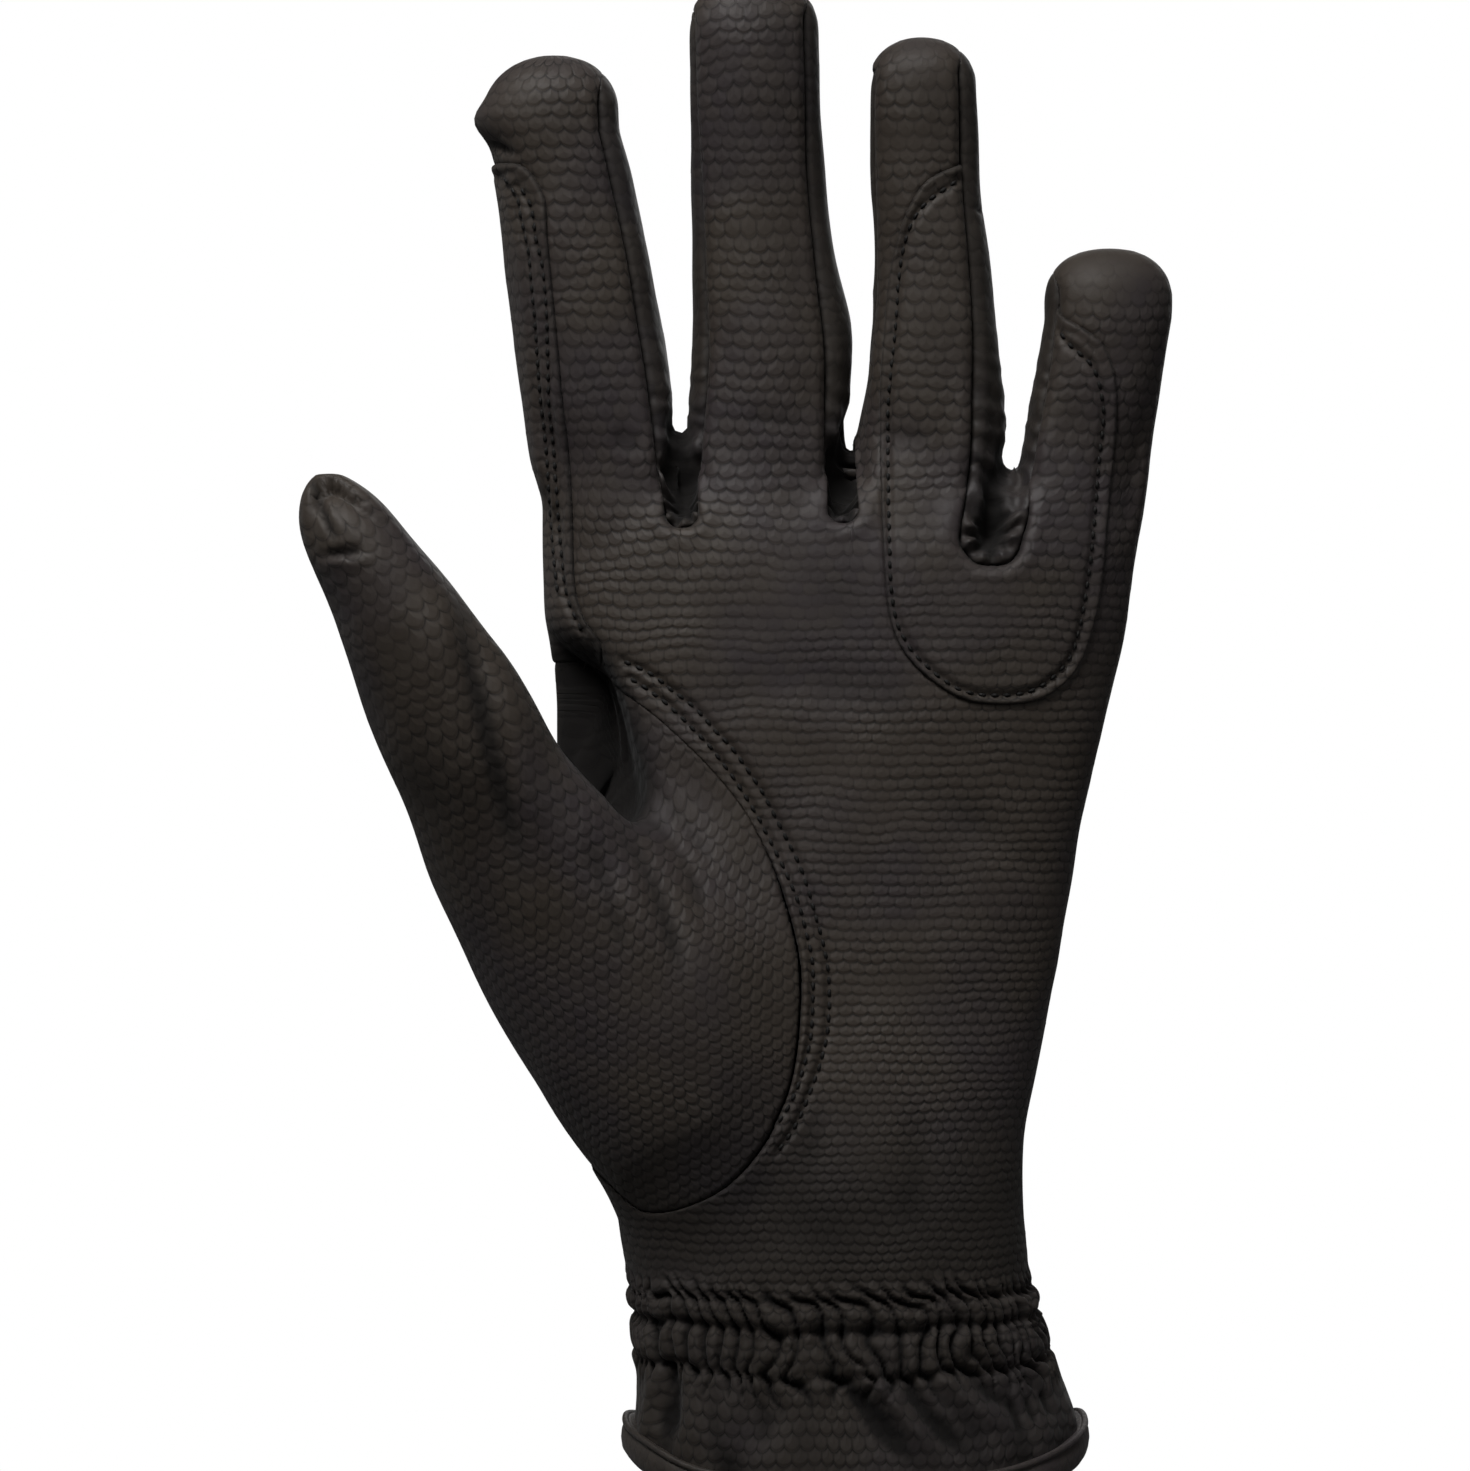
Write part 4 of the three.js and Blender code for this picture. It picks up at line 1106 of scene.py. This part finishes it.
# A Math node; numbers and sockets are taken in turn
def sums(tree, operation, *values, clamp=False):
    node = tree.nodes.new("ShaderNodeMath")
    node.operation = operation
    node.use_clamp = clamp
    for socket, value in zip(node.inputs, values):
        if isinstance(value, (int, float)):
            socket.default_value = value
        else:
            tree.links.new(value, socket)
    return node.outputs[0]


def stepBetween(tree, value, low, high):
    node = tree.nodes.new("ShaderNodeMapRange")
    node.interpolation_type = "SMOOTHSTEP"
    tree.links.new(value, node.inputs["Value"])
    node.inputs["From Min"].default_value = low
    node.inputs["From Max"].default_value = high
    return node.outputs["Result"]


# Shares of a scale's height and width, and the strength of its edges and painted shadows
scaleLook = {
    "sideLine": (0.02, 0.13), "sideDeep": 0.32, "sideDark": 0.6, "base": 0.3, "slope": 0.7,
    "roundTop": 0.22, "roundDeep": 0.3, "shadow": (0.02, 0.26), "endsLighter": 0.55,
}


# Overlapping scales in rows: height, painted shadow under each scale and one random value for each
def scaleGroup():
    look = scaleLook
    tree, given, made = shaderGroup(
        "leather scales", [("Pattern", "Vector", None), ("Arch", "Float", 0.5), ("Sides", "Float", 0.5)],
        [("Height", "Float"), ("Shadow", "Float"), ("Scale", "Float")])
    split = tree.nodes.new("ShaderNodeSeparateXYZ")
    tree.links.new(given.outputs["Pattern"], split.inputs[0])
    u, v, arch = split.outputs["X"], split.outputs["Y"], given.outputs["Arch"]
    row = sums(tree, "FLOOR", v)
    rise = sums(tree, "SUBTRACT", v, row)
    shifted = sums(tree, "ADD", u, sums(tree, "MULTIPLY", sums(tree, "FLOORED_MODULO", row, 2.0), 0.5))
    cell = sums(tree, "FLOOR", shifted)
    across = sums(tree, "SUBTRACT", sums(tree, "SUBTRACT", shifted, cell), 0.5)
    size = sums(tree, "ABSOLUTE", across)
    lip = sums(tree, "MULTIPLY", arch, sums(tree, "POWER", sums(tree, "MULTIPLY", size, 2.0), 2.0))
    half = sums(tree, "SUBTRACT", 0.5, size)
    otherLip = sums(tree, "MULTIPLY", arch, sums(tree, "POWER", sums(tree, "MULTIPLY", half, 2.0), 2.0))
    own = sums(tree, "GREATER_THAN", rise, lip)

    def blend(low, high):
        return sums(tree, "ADD", low, sums(tree, "MULTIPLY", own, sums(tree, "SUBTRACT", high, low)))

    nextLip = sums(tree, "SUBTRACT", sums(tree, "ADD", 1.0, otherLip), rise)
    below = blend(sums(tree, "SUBTRACT", lip, rise), nextLip)
    lastLip = sums(tree, "SUBTRACT", sums(tree, "ADD", rise, 1.0), otherLip)
    above = blend(lastLip, sums(tree, "SUBTRACT", rise, lip))
    edge = sums(tree, "SUBTRACT", 0.5, blend(half, size))
    sideLine = sums(tree, "SUBTRACT", 1.0, stepBetween(tree, edge, *look["sideLine"]))
    sideLine = sums(tree, "MULTIPLY", sideLine, given.outputs["Sides"])
    slope = stepBetween(tree, below, 0.0, look["slope"])
    body = sums(tree, "ADD", look["base"], sums(tree, "MULTIPLY", slope, 1 - look["base"]))
    rounded = sums(tree, "SUBTRACT", 1.0, stepBetween(tree, above, 0.0, look["roundTop"]))
    rounded = sums(tree, "MULTIPLY", rounded, look["roundDeep"])
    height = sums(tree, "SUBTRACT", body, rounded)
    height = sums(tree, "SUBTRACT", height, sums(tree, "MULTIPLY", sideLine, look["sideDeep"]))
    # painted shadow just under the lip of the scale above, lighter towards the ends of the scale; the side
    # lines are darkened too
    shadow = sums(tree, "SUBTRACT", 1.0, stepBetween(tree, below, *look["shadow"]))
    middle = sums(tree, "MULTIPLY", blend(half, size), 2.0)            # 0 at a scale's lowest point
    lighter = sums(tree, "MULTIPLY", middle, look["endsLighter"])
    shadow = sums(tree, "MULTIPLY", shadow, sums(tree, "SUBTRACT", 1.0, lighter))
    shadow = sums(tree, "MAXIMUM", shadow, sums(tree, "MULTIPLY", sideLine, look["sideDark"]))
    seed = tree.nodes.new("ShaderNodeCombineXYZ")
    tree.links.new(sums(tree, "ADD", cell, sums(tree, "MULTIPLY", own, 0.37)), seed.inputs["X"])
    tree.links.new(sums(tree, "ADD", row, own), seed.inputs["Y"])
    noise = tree.nodes.new("ShaderNodeTexWhiteNoise")
    tree.links.new(seed.outputs[0], noise.inputs["Vector"])
    tree.links.new(height, made.inputs["Height"])
    tree.links.new(shadow, made.inputs["Shadow"])
    tree.links.new(noise.outputs["Value"], made.inputs["Scale"])
    return tree


# Noise scale and detail of the pores, the dye and the gloss
hideLook = {"grain": (2600, 2), "dye": (38, 2), "dyeStep": (0.42, 0.66), "haze": (95, 3)}


# Fine pores and uneven dye over the whole hide
def hideGroup():
    tree, given, made = shaderGroup("hide", [("Place", "Vector", None)],
                                    [("Grain", "Float"), ("Tint", "Float"), ("Haze", "Float")])

    def noise(size, detail):
        node = tree.nodes.new("ShaderNodeTexNoise")
        node.inputs["Scale"].default_value = size
        node.inputs["Detail"].default_value = detail
        tree.links.new(given.outputs["Place"], node.inputs["Vector"])
        return node.outputs["Fac"]

    tree.links.new(noise(*hideLook["grain"]), made.inputs["Grain"])
    tree.links.new(stepBetween(tree, noise(*hideLook["dye"]), *hideLook["dyeStep"]), made.inputs["Tint"])
    tree.links.new(noise(*hideLook["haze"]), made.inputs["Haze"])
    return tree


scales = scaleGroup()
hide = hideGroup()


def leather(name, look):
    material = bpy.data.materials.new(name)
    material.use_nodes = True
    tree = material.node_tree
    shader = tree.nodes["Principled BSDF"]
    pattern = tree.nodes.new("ShaderNodeUVMap")
    pattern.uv_map = "scales"
    marks = []
    # deep holds painted shade: creases, pits, crotch funnels, patch edges, wrist and cuff
    for label in ("arch", "deep", "press"):
        node = tree.nodes.new("ShaderNodeAttribute")
        node.attribute_name = label
        marks.append(node.outputs["Fac"])
    arch, deep, press = marks
    place = tree.nodes.new("ShaderNodeTexCoord")
    rows = tree.nodes.new("ShaderNodeGroup")
    rows.node_tree = scales
    rows.inputs["Sides"].default_value = look["sides"]
    tree.links.new(pattern.outputs["UV"], rows.inputs["Pattern"])
    tree.links.new(arch, rows.inputs["Arch"])
    skin = tree.nodes.new("ShaderNodeGroup")
    skin.node_tree = hide
    tree.links.new(place.outputs["Object"], skin.inputs["Place"])

    def mixed(low, high, factor):
        node = tree.nodes.new("ShaderNodeMix")
        node.data_type = "RGBA"
        for socket, value in zip((node.inputs[0], node.inputs[6], node.inputs[7]), (factor, low, high)):
            if hasattr(value, "is_linked"):
                tree.links.new(value, socket)
            else:
                socket.default_value = value if not isinstance(value, tuple) else (*value, 1)
        return node.outputs[2]

    colour = mixed(look["colour"], look["cool"], skin.outputs["Tint"])
    colour = mixed(colour, look["worn"], sums(tree, "MULTIPLY", rows.outputs["Scale"], look["uneven"]))
    # Painted shadow under each scale, as strong as the scales are pressed
    shadow = sums(tree, "MULTIPLY", rows.outputs["Shadow"], press)
    colour = mixed(colour, look["deep"], sums(tree, "MULTIPLY", shadow, look["shade"]))
    # Painted shade from the deep mark
    colour = mixed(colour, look["deep"], sums(tree, "MULTIPLY", deep, look["pitShade"]))
    tree.links.new(colour, shader.inputs["Base Color"])
    rough = sums(tree, "ADD", look["rough"], sums(tree, "MULTIPLY", skin.outputs["Haze"], look["hazy"]))
    rough = sums(tree, "ADD", rough, sums(tree, "MULTIPLY", shadow, look["shadowRough"]))
    rough = sums(tree, "ADD", rough, sums(tree, "MULTIPLY", deep, look["deepRough"]), clamp=True)
    tree.links.new(rough, shader.inputs["Roughness"])
    shader.inputs["Specular IOR Level"].default_value = look["gloss"]
    shader.inputs["Sheen Weight"].default_value = look["sheen"]
    shader.inputs["Sheen Roughness"].default_value = 0.5
    relief = sums(tree, "MULTIPLY", rows.outputs["Height"], press)
    height = sums(tree, "ADD", sums(tree, "MULTIPLY", relief, look["emboss"]),
                  sums(tree, "MULTIPLY", skin.outputs["Grain"], look["grain"]))
    bump = tree.nodes.new("ShaderNodeBump")
    bump.inputs["Strength"].default_value = 1.0
    bump.inputs["Distance"].default_value = mm
    tree.links.new(height, bump.inputs["Height"])
    tree.links.new(bump.outputs["Normal"], shader.inputs["Normal"])
    return material


# deep is the near-black colour of the painted shade and painted shadow; shade is the strength of the painted
# shadow under the scales
embossed = {
    "colour": (.0335, .0258, .0198), "cool": (.0285, .0225, .0235), "worn": (.044, .036, .029),
    "deep": (.003, .0022, .0018), "uneven": 0.35, "shade": 0.95, "pitShade": 1.0,
    "rough": 0.5, "hazy": 0.16, "shadowRough": 0.12, "deepRough": 0.35, "gloss": 0.25, "sheen": 0.03,
    "sides": 0.6, "emboss": 0.2, "grain": 0.02,             # emboss and grain are in millimetres
}
leathers = {
    "embossed": leather("scale embossed leather", embossed),
    "strip": leather("side strip leather", dict(
        embossed, colour=(.021, .0168, .0135), cool=(.019, .0158, .0165), emboss=0.13, shade=0.6, sides=0.4,
        rough=0.48)),
    "patch": leather("patch leather", dict(embossed, colour=(.034, .0265, .0208), sides=0.55)),
    "thumb": leather("scale embossed thumb leather", dict(embossed, sides=0.5)),
    "binding": leather("binding leather", dict(
        embossed, colour=(.024, .0192, .0158), emboss=0.1, shade=0.4)),
}


threadLook = {
    "fuzz": 3200, "dark": (.002, .002, .002, 1), "light": (.009, .008, .007, 1), "relief": 0.05, "rough": 0.7,
    "gloss": 0.25,
}


def threadMaterial():
    look = threadLook
    material = bpy.data.materials.new("black thread")
    material.use_nodes = True
    tree = material.node_tree
    shader = tree.nodes["Principled BSDF"]
    place = tree.nodes.new("ShaderNodeTexCoord")
    fuzz = tree.nodes.new("ShaderNodeTexNoise")
    fuzz.inputs["Scale"].default_value = look["fuzz"]
    tree.links.new(place.outputs["Object"], fuzz.inputs["Vector"])
    ramp = tree.nodes.new("ShaderNodeValToRGB")
    ramp.color_ramp.elements[0].color = look["dark"]
    ramp.color_ramp.elements[1].color = look["light"]
    tree.links.new(fuzz.outputs["Fac"], ramp.inputs["Fac"])
    tree.links.new(ramp.outputs["Color"], shader.inputs["Base Color"])
    bump = tree.nodes.new("ShaderNodeBump")
    bump.inputs["Distance"].default_value = look["relief"] * mm
    tree.links.new(fuzz.outputs["Fac"], bump.inputs["Height"])
    tree.links.new(bump.outputs["Normal"], shader.inputs["Normal"])
    shader.inputs["Roughness"].default_value = look["rough"]
    shader.inputs["Specular IOR Level"].default_value = look["gloss"]
    return material


thread = threadMaterial()
print("materials")

# Leather panels
restNormals = unit(smoothed(normalsOf(points, tris), tris, 0.5, 3))
# node, leather and material slot
panels = [
    ("palm_panel", "embossed", "embossed_leather"),
    ("back_panel", "embossed", "embossed_leather"),
    ("thumb_panel", "thumb", "embossed_leather"),
    ("fourchette_index_middle", "strip", "strip_leather"),
    ("fourchette_middle_ring", "strip", "strip_leather"),
    ("fourchette_ring_little", "strip", "strip_leather"),
]
sheets = {}
for kind, (name, look, slot) in enumerate(panels):
    used, t = np.unique(tris[piece == kind], return_inverse=True)
    t = t.reshape(-1, 3)
    rest, normals = points[used], restNormals[used]
    lift = leatherLift(rest, normals, kind)
    # painted shade in creases, pits, crotch funnels and over the wrist and cuff
    shade = creaseShade(lift, t, paintedShade(rest, normals, kind))
    if kind in (0, 2):
        lift += rowLift(rest, normals)
    if kind == 0:
        for outline in patchOutlines.values():
            lift -= patchShape["sunk"] * ease(-signedDistance(flat(rest), outline), *patchShape["sunkEdge"])
    rim = np.unique(rimOf(t))
    turn = seamLook["edgeTurn"] * (rest[rim, 2] > 14) * seamStrength(rest[rim])
    lift[rim] -= turn * (1 - 0.8 * ease(normals[rim, 2], 0.15, 0.55))
    outer = rest + normals * lift[:, None]
    under = unit(smoothed(normalsOf(outer, t), t, 0.5, leatherWall["even"]))
    pattern, arch = scalePattern(rest, kind)
    marks = {"arch": arch, "deep": np.minimum(shade, 1), "press": pressed(rest, kind)}
    sheets[name] = (rest, normals, outer, t, pattern, marks)
    inner = outer - under * leatherWall["thick"]
    thing = closedPiece("leather_" + name, outer, inner, t, pattern, marks, kind < 2)
    thing.data.materials.append(leathers[look])
    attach(thing, "root")
    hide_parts(name)
    print(thing.name, len(thing.data.polygons))


# A patch follows the palm's leather inside its outline and stands a little above it
def patchPiece(name, node, outline):
    look = patchShape
    rest, normals, outer, t, pattern, marks = sheets["palm_panel"]
    within = inside(flat(rest[t].mean(1)), outline) & (normals[t].mean(1)[:, 1] < look["sideways"])
    used, s = np.unique(t[within], return_inverse=True)
    s = s.reshape(-1, 3)
    rest, normals, base = rest[used], normals[used], outer[used]
    edge = np.abs(signedDistance(flat(rest), outline))
    rounded = np.sqrt(1 - (1 - np.clip(edge / look["round"], 0, 1)) ** 2)
    rise = look["low"] + (look["high"] - look["low"]) * rounded
    rise += look["sunk"] * ease(edge, *look["sunkEdge"])
    rise -= look["channel"] * bell(edge - look["channelAt"], look["channelWide"])
    if node == "index_patch":
        rise *= look["flatShare"] + (1 - look["flatShare"]) * ease(rest[:, 2], *look["flatEnd"])
    top = base + normals * rise[:, None]
    marks = {label: values[used] for label, values in marks.items()}
    # painted shade along the patch's raised edge
    marks["deep"] = np.clip(marks["deep"] + look["edgeShade"] * bell(edge, look["edgeShadeWide"]), 0, 1)
    thing = closedPiece(name, top, base - normals * look["under"], s, pattern[used], marks, thin=False)
    thing.data.materials.append(leathers["patch"])
    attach(thing, "root")
    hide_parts(node)
    print(name, len(thing.data.polygons))
    return top, s


patchTops = [patchPiece("leather_index_patch", "index_patch", patchOutlines["index"]),
             patchPiece("leather_ring_little_patch", "ring_little_patch", patchOutlines["ringLittle"])]


# Hem
hemShape = {
    "steps": 300, "around": 190.0, "wave": 0.25, "waveSize": 22, "swelling": 0.004, "swellSize": 12,
    "pipe": 0.5, "pipeUp": 4.7, "pipeOut": 0.95, "pipeSides": 12, "cell": 2.3, "row": 2.2, "arch": 0.4,
    "press": 0.6,
    # out, up
    "band": [(-1.5, 4.2), (-1.5, 1.2), (-1.2, 0.45), (-0.6, 0.05), (0.2, 0.0), (0.95, 0.3), (1.4, 1.0),
             (1.55, 2.1), (1.45, 3.1), (1.1, 4.0), (0.75, 4.55), (0.35, 4.8), (0.0, 4.6), (-0.5, 4.4)],
}


def hemRing(angle, out, up):
    ux, uy = roundSquare(angle, handShape["squareness"])
    x = ux * (handShape["cuffWidth"] / 2 + out)
    y = uy * (handShape["cuffDepth"] / 2 + out)
    return np.stack([x, y, hemLift(angle, 0) + up], -1)


def sweptRing(rings):
    steps, sides = rings.shape[:2]
    i = np.arange(steps)[:, None]
    j = np.arange(sides)[None, :]
    ni, nj = (i + 1) % steps, (j + 1) % sides
    a, b, c, d = (i * sides + j), (ni * sides + j), (ni * sides + nj), (i * sides + nj)
    t = np.concatenate([np.stack([a, b, c], -1).reshape(-1, 3), np.stack([a, c, d], -1).reshape(-1, 3)])
    return rings.reshape(-1, 3), t


# Folded band round the cuff's mouth, with a thin piping where it meets the leather
def hemPieces():
    look = hemShape
    steps = look["steps"]
    angle = np.arange(steps) * 2 * math.pi / steps
    around = np.column_stack([np.cos(angle), np.sin(angle)]) * gathers["radius"]
    wave = (look["wave"] * swell(around, look["waveSize"], 41))[:, None]
    profile = np.array(look["band"])
    ring = hemRing(angle[:, None], profile[None, :, 0], profile[None, :, 1])
    ring[..., 2] += wave * (profile[None, :, 1] / 5)
    ring[..., :2] *= (1 + look["swelling"] * swell(around, look["swellSize"], 42))[:, None, None]
    turn = np.linspace(0, 2 * math.pi, look["pipeSides"] + 1)[:-1]
    pipe = look["pipe"] * np.stack([np.cos(turn), np.sin(turn)], 1) + (look["pipeOut"], look["pipeUp"])
    pipeRing = hemRing(angle[:, None], pipe[None, :, 0], pipe[None, :, 1])
    pipeRing[..., 2] += wave
    p, t = sweptRing(ring)
    q, s = sweptRing(pipeRing)
    length = np.arange(steps) * look["around"] / steps / look["cell"]
    pattern = np.vstack([
        np.column_stack([np.repeat(length, len(profile)), np.tile(profile[:, 1] / look["row"], steps)]),
        np.column_stack([np.repeat(length, len(pipe)), np.zeros(len(q))])])
    count = len(p) + len(q)
    marks = {label: np.full(count, value)
             for label, value in (("arch", look["arch"]), ("deep", 0.0), ("press", look["press"]))}
    thing = meshFrom("leather_hem_binding", np.vstack([p, q]), np.vstack([t, s + len(p)]), pattern, marks)
    choose(thing)
    bpy.ops.object.mode_set(mode="EDIT")
    bpy.ops.mesh.select_all(action="SELECT")
    bpy.ops.mesh.normals_make_consistent(inside=False)
    bpy.ops.object.mode_set(mode="OBJECT")
    thing.data.materials.append(leathers["binding"])
    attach(thing, "root")
    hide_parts("hem_binding")
    return thing


hem = hemPieces()
print("hem", len(hem.data.polygons))


# Stitches
def stitchForm():
    bpy.ops.mesh.primitive_uv_sphere_add(segments=8, ring_count=5, radius=0.5, location=(0, 0, 0))
    thing = bpy.context.view_layer.objects.active
    bpy.ops.object.mode_set(mode="EDIT")
    bpy.ops.mesh.select_all(action="SELECT")
    bpy.ops.transform.resize(value=(stitchLook["thick"], stitchLook["thick"], stitchLook["long"]))
    bpy.ops.object.mode_set(mode="OBJECT")
    mesh = thing.data
    p = np.array([v.co[:] for v in mesh.vertices])
    mesh.calc_loop_triangles()
    t = np.array([f.vertices[:] for f in mesh.loop_triangles])
    bpy.data.objects.remove(thing)
    p[:, 1] -= (p[:, 2] / stitchLook["long"] * 2) ** 2 * stitchLook["dive"]
    return p, t


# A stitch lies wherever the camera's line through a row meets the leather
def placeStitches():
    look = stitchLook
    sheetsIn = [sheets[name][2:4] for name in ("palm_panel", "thumb_panel")] + patchTops
    count = np.cumsum([0] + [len(s[0]) for s in sheetsIn])
    allPoints = np.vstack([s[0] for s in sheetsIn])
    allTris = np.vstack([s[1] + n for s, n in zip(sheetsIn, count)])
    tree = BVHTree.FromPolygons(allPoints.tolist(), allTris.tolist())
    form, formTris = stitchForm()
    out, outTris = [], []
    start = Vector(eye)
    for line in stitchLines.values():
        length = np.concatenate([[0], np.cumsum(np.linalg.norm(np.diff(line, axis=0), axis=1))])
        total = round(length[-1] / look["pitch"])
        marks = (np.arange(total) + 0.5) * length[-1] / total
        for mark in marks:
            ends = []
            for step in (-look["reach"], 0, look["reach"]):
                x, z = (np.interp(mark + step, length, line[:, k]) for k in (0, 1))
                hit = tree.ray_cast(start, (Vector((x, 0, z)) - start).normalized())
                ends.append(hit)
            if any(h[0] is None for h in ends):
                continue
            low, middle, high = ends
            along = high[0] - low[0]
            if along.length > look["longest"]:
                continue
            along.normalize()
            out3 = middle[1]
            out3 = (out3 - along * out3.dot(along)).normalized()
            if out3.dot(start - middle[0]) < 0:
                out3.negate()
            basis = np.array([out3.cross(along), out3, along])
            place = np.array(middle[0]) + np.array(out3) * (look["thick"] / 2 - look["sink"])
            outTris.append(formTris + sum(len(o) for o in out))
            out.append(form @ basis + place)
    p, t = np.vstack(out), np.vstack(outTris)
    thing = meshFrom("seam_stitches", p, t)
    thing.data.materials.append(thread)
    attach(thing, "root")
    print("stitches", len(out))


placeStitches()


# Studio
def areaLight(name, place, aim, size, power, spread):
    data = bpy.data.lights.new(name, "AREA")
    data.shape = "SQUARE"
    data.size = size
    data.energy = power
    data.spread = math.radians(spread)
    thing = bpy.data.objects.new(name, data)
    bpy.context.collection.objects.link(thing)
    thing.location = place
    thing.rotation_euler = (Vector(aim) - Vector(place)).to_track_quat("-Z", "Y").to_euler()


# name, place and aim in metres, size, power in watts, spread in degrees
lights = [
    ("key", (-0.20, -0.36, 0.66), (-0.03, 0, 0.14), 0.3, 0.56, 56),
    ("fill", (0.50, -0.60, 0.46), (0, 0, 0.17), 0.5, 0.27, 120),
    ("top", (0.05, -0.08, 0.75), (0, 0, 0.1), 0.5, 0.5, 180),
    ("back", (0.2, 0.9, 0.5), (0, 0, 0.12), 0.7, 2.0, 180),
    ("side", (-0.8, 0.25, 0.3), (0, 0, 0.14), 0.5, 0.5, 180),
]
for light in lights:
    areaLight(*light)

bpy.ops.mesh.primitive_plane_add(size=studio["floorSize"], location=(0, 0, studio["floorHeight"] * mm))
floor = bpy.context.view_layer.objects.active
floor.name = "floor"
floorMaterial = bpy.data.materials.new("pale floor")
floorMaterial.use_nodes = True
tree = floorMaterial.node_tree
diffuse = tree.nodes["Principled BSDF"]
diffuse.inputs["Base Color"].default_value = studio["floorColour"]
diffuse.inputs["Roughness"].default_value = studio["floorRough"]
white = tree.nodes.new("ShaderNodeEmission")
white.inputs["Strength"].default_value = 1.0
path = tree.nodes.new("ShaderNodeLightPath")
mix = tree.nodes.new("ShaderNodeMixShader")
tree.links.new(path.outputs["Is Camera Ray"], mix.inputs[0])
tree.links.new(diffuse.outputs[0], mix.inputs[1])
tree.links.new(white.outputs[0], mix.inputs[2])
tree.links.new(mix.outputs[0], tree.nodes["Material Output"].inputs["Surface"])
floor.data.materials.append(floorMaterial)

world = bpy.data.worlds.new("studio")
bpy.context.scene.world = world
world.use_nodes = True
tree = world.node_tree
ground = tree.nodes["Background"]
ground.inputs["Color"].default_value = (1, 1, 1, 1)
path = tree.nodes.new("ShaderNodeLightPath")
strength = tree.nodes.new("ShaderNodeMapRange")
strength.inputs["To Min"].default_value = studio["sky"]
strength.inputs["To Max"].default_value = 1.0
tree.links.new(path.outputs["Is Camera Ray"], strength.inputs["Value"])
tree.links.new(strength.outputs["Result"], ground.inputs["Strength"])
bpy.context.scene.view_settings.view_transform = "Standard"

camera = bpy.data.cameras.new("camera")
camera.sensor_width = 36.0
camera.lens = studio["lens"]
camera.clip_start, camera.clip_end = 0.01, 20
cameraThing = bpy.data.objects.new("camera", camera)
bpy.context.collection.objects.link(cameraThing)
cameraThing.location = [c * mm for c in studio["camera"]]
cameraThing.rotation_euler = (math.pi / 2, 0, 0)
bpy.context.scene.camera = cameraThing

print("done")
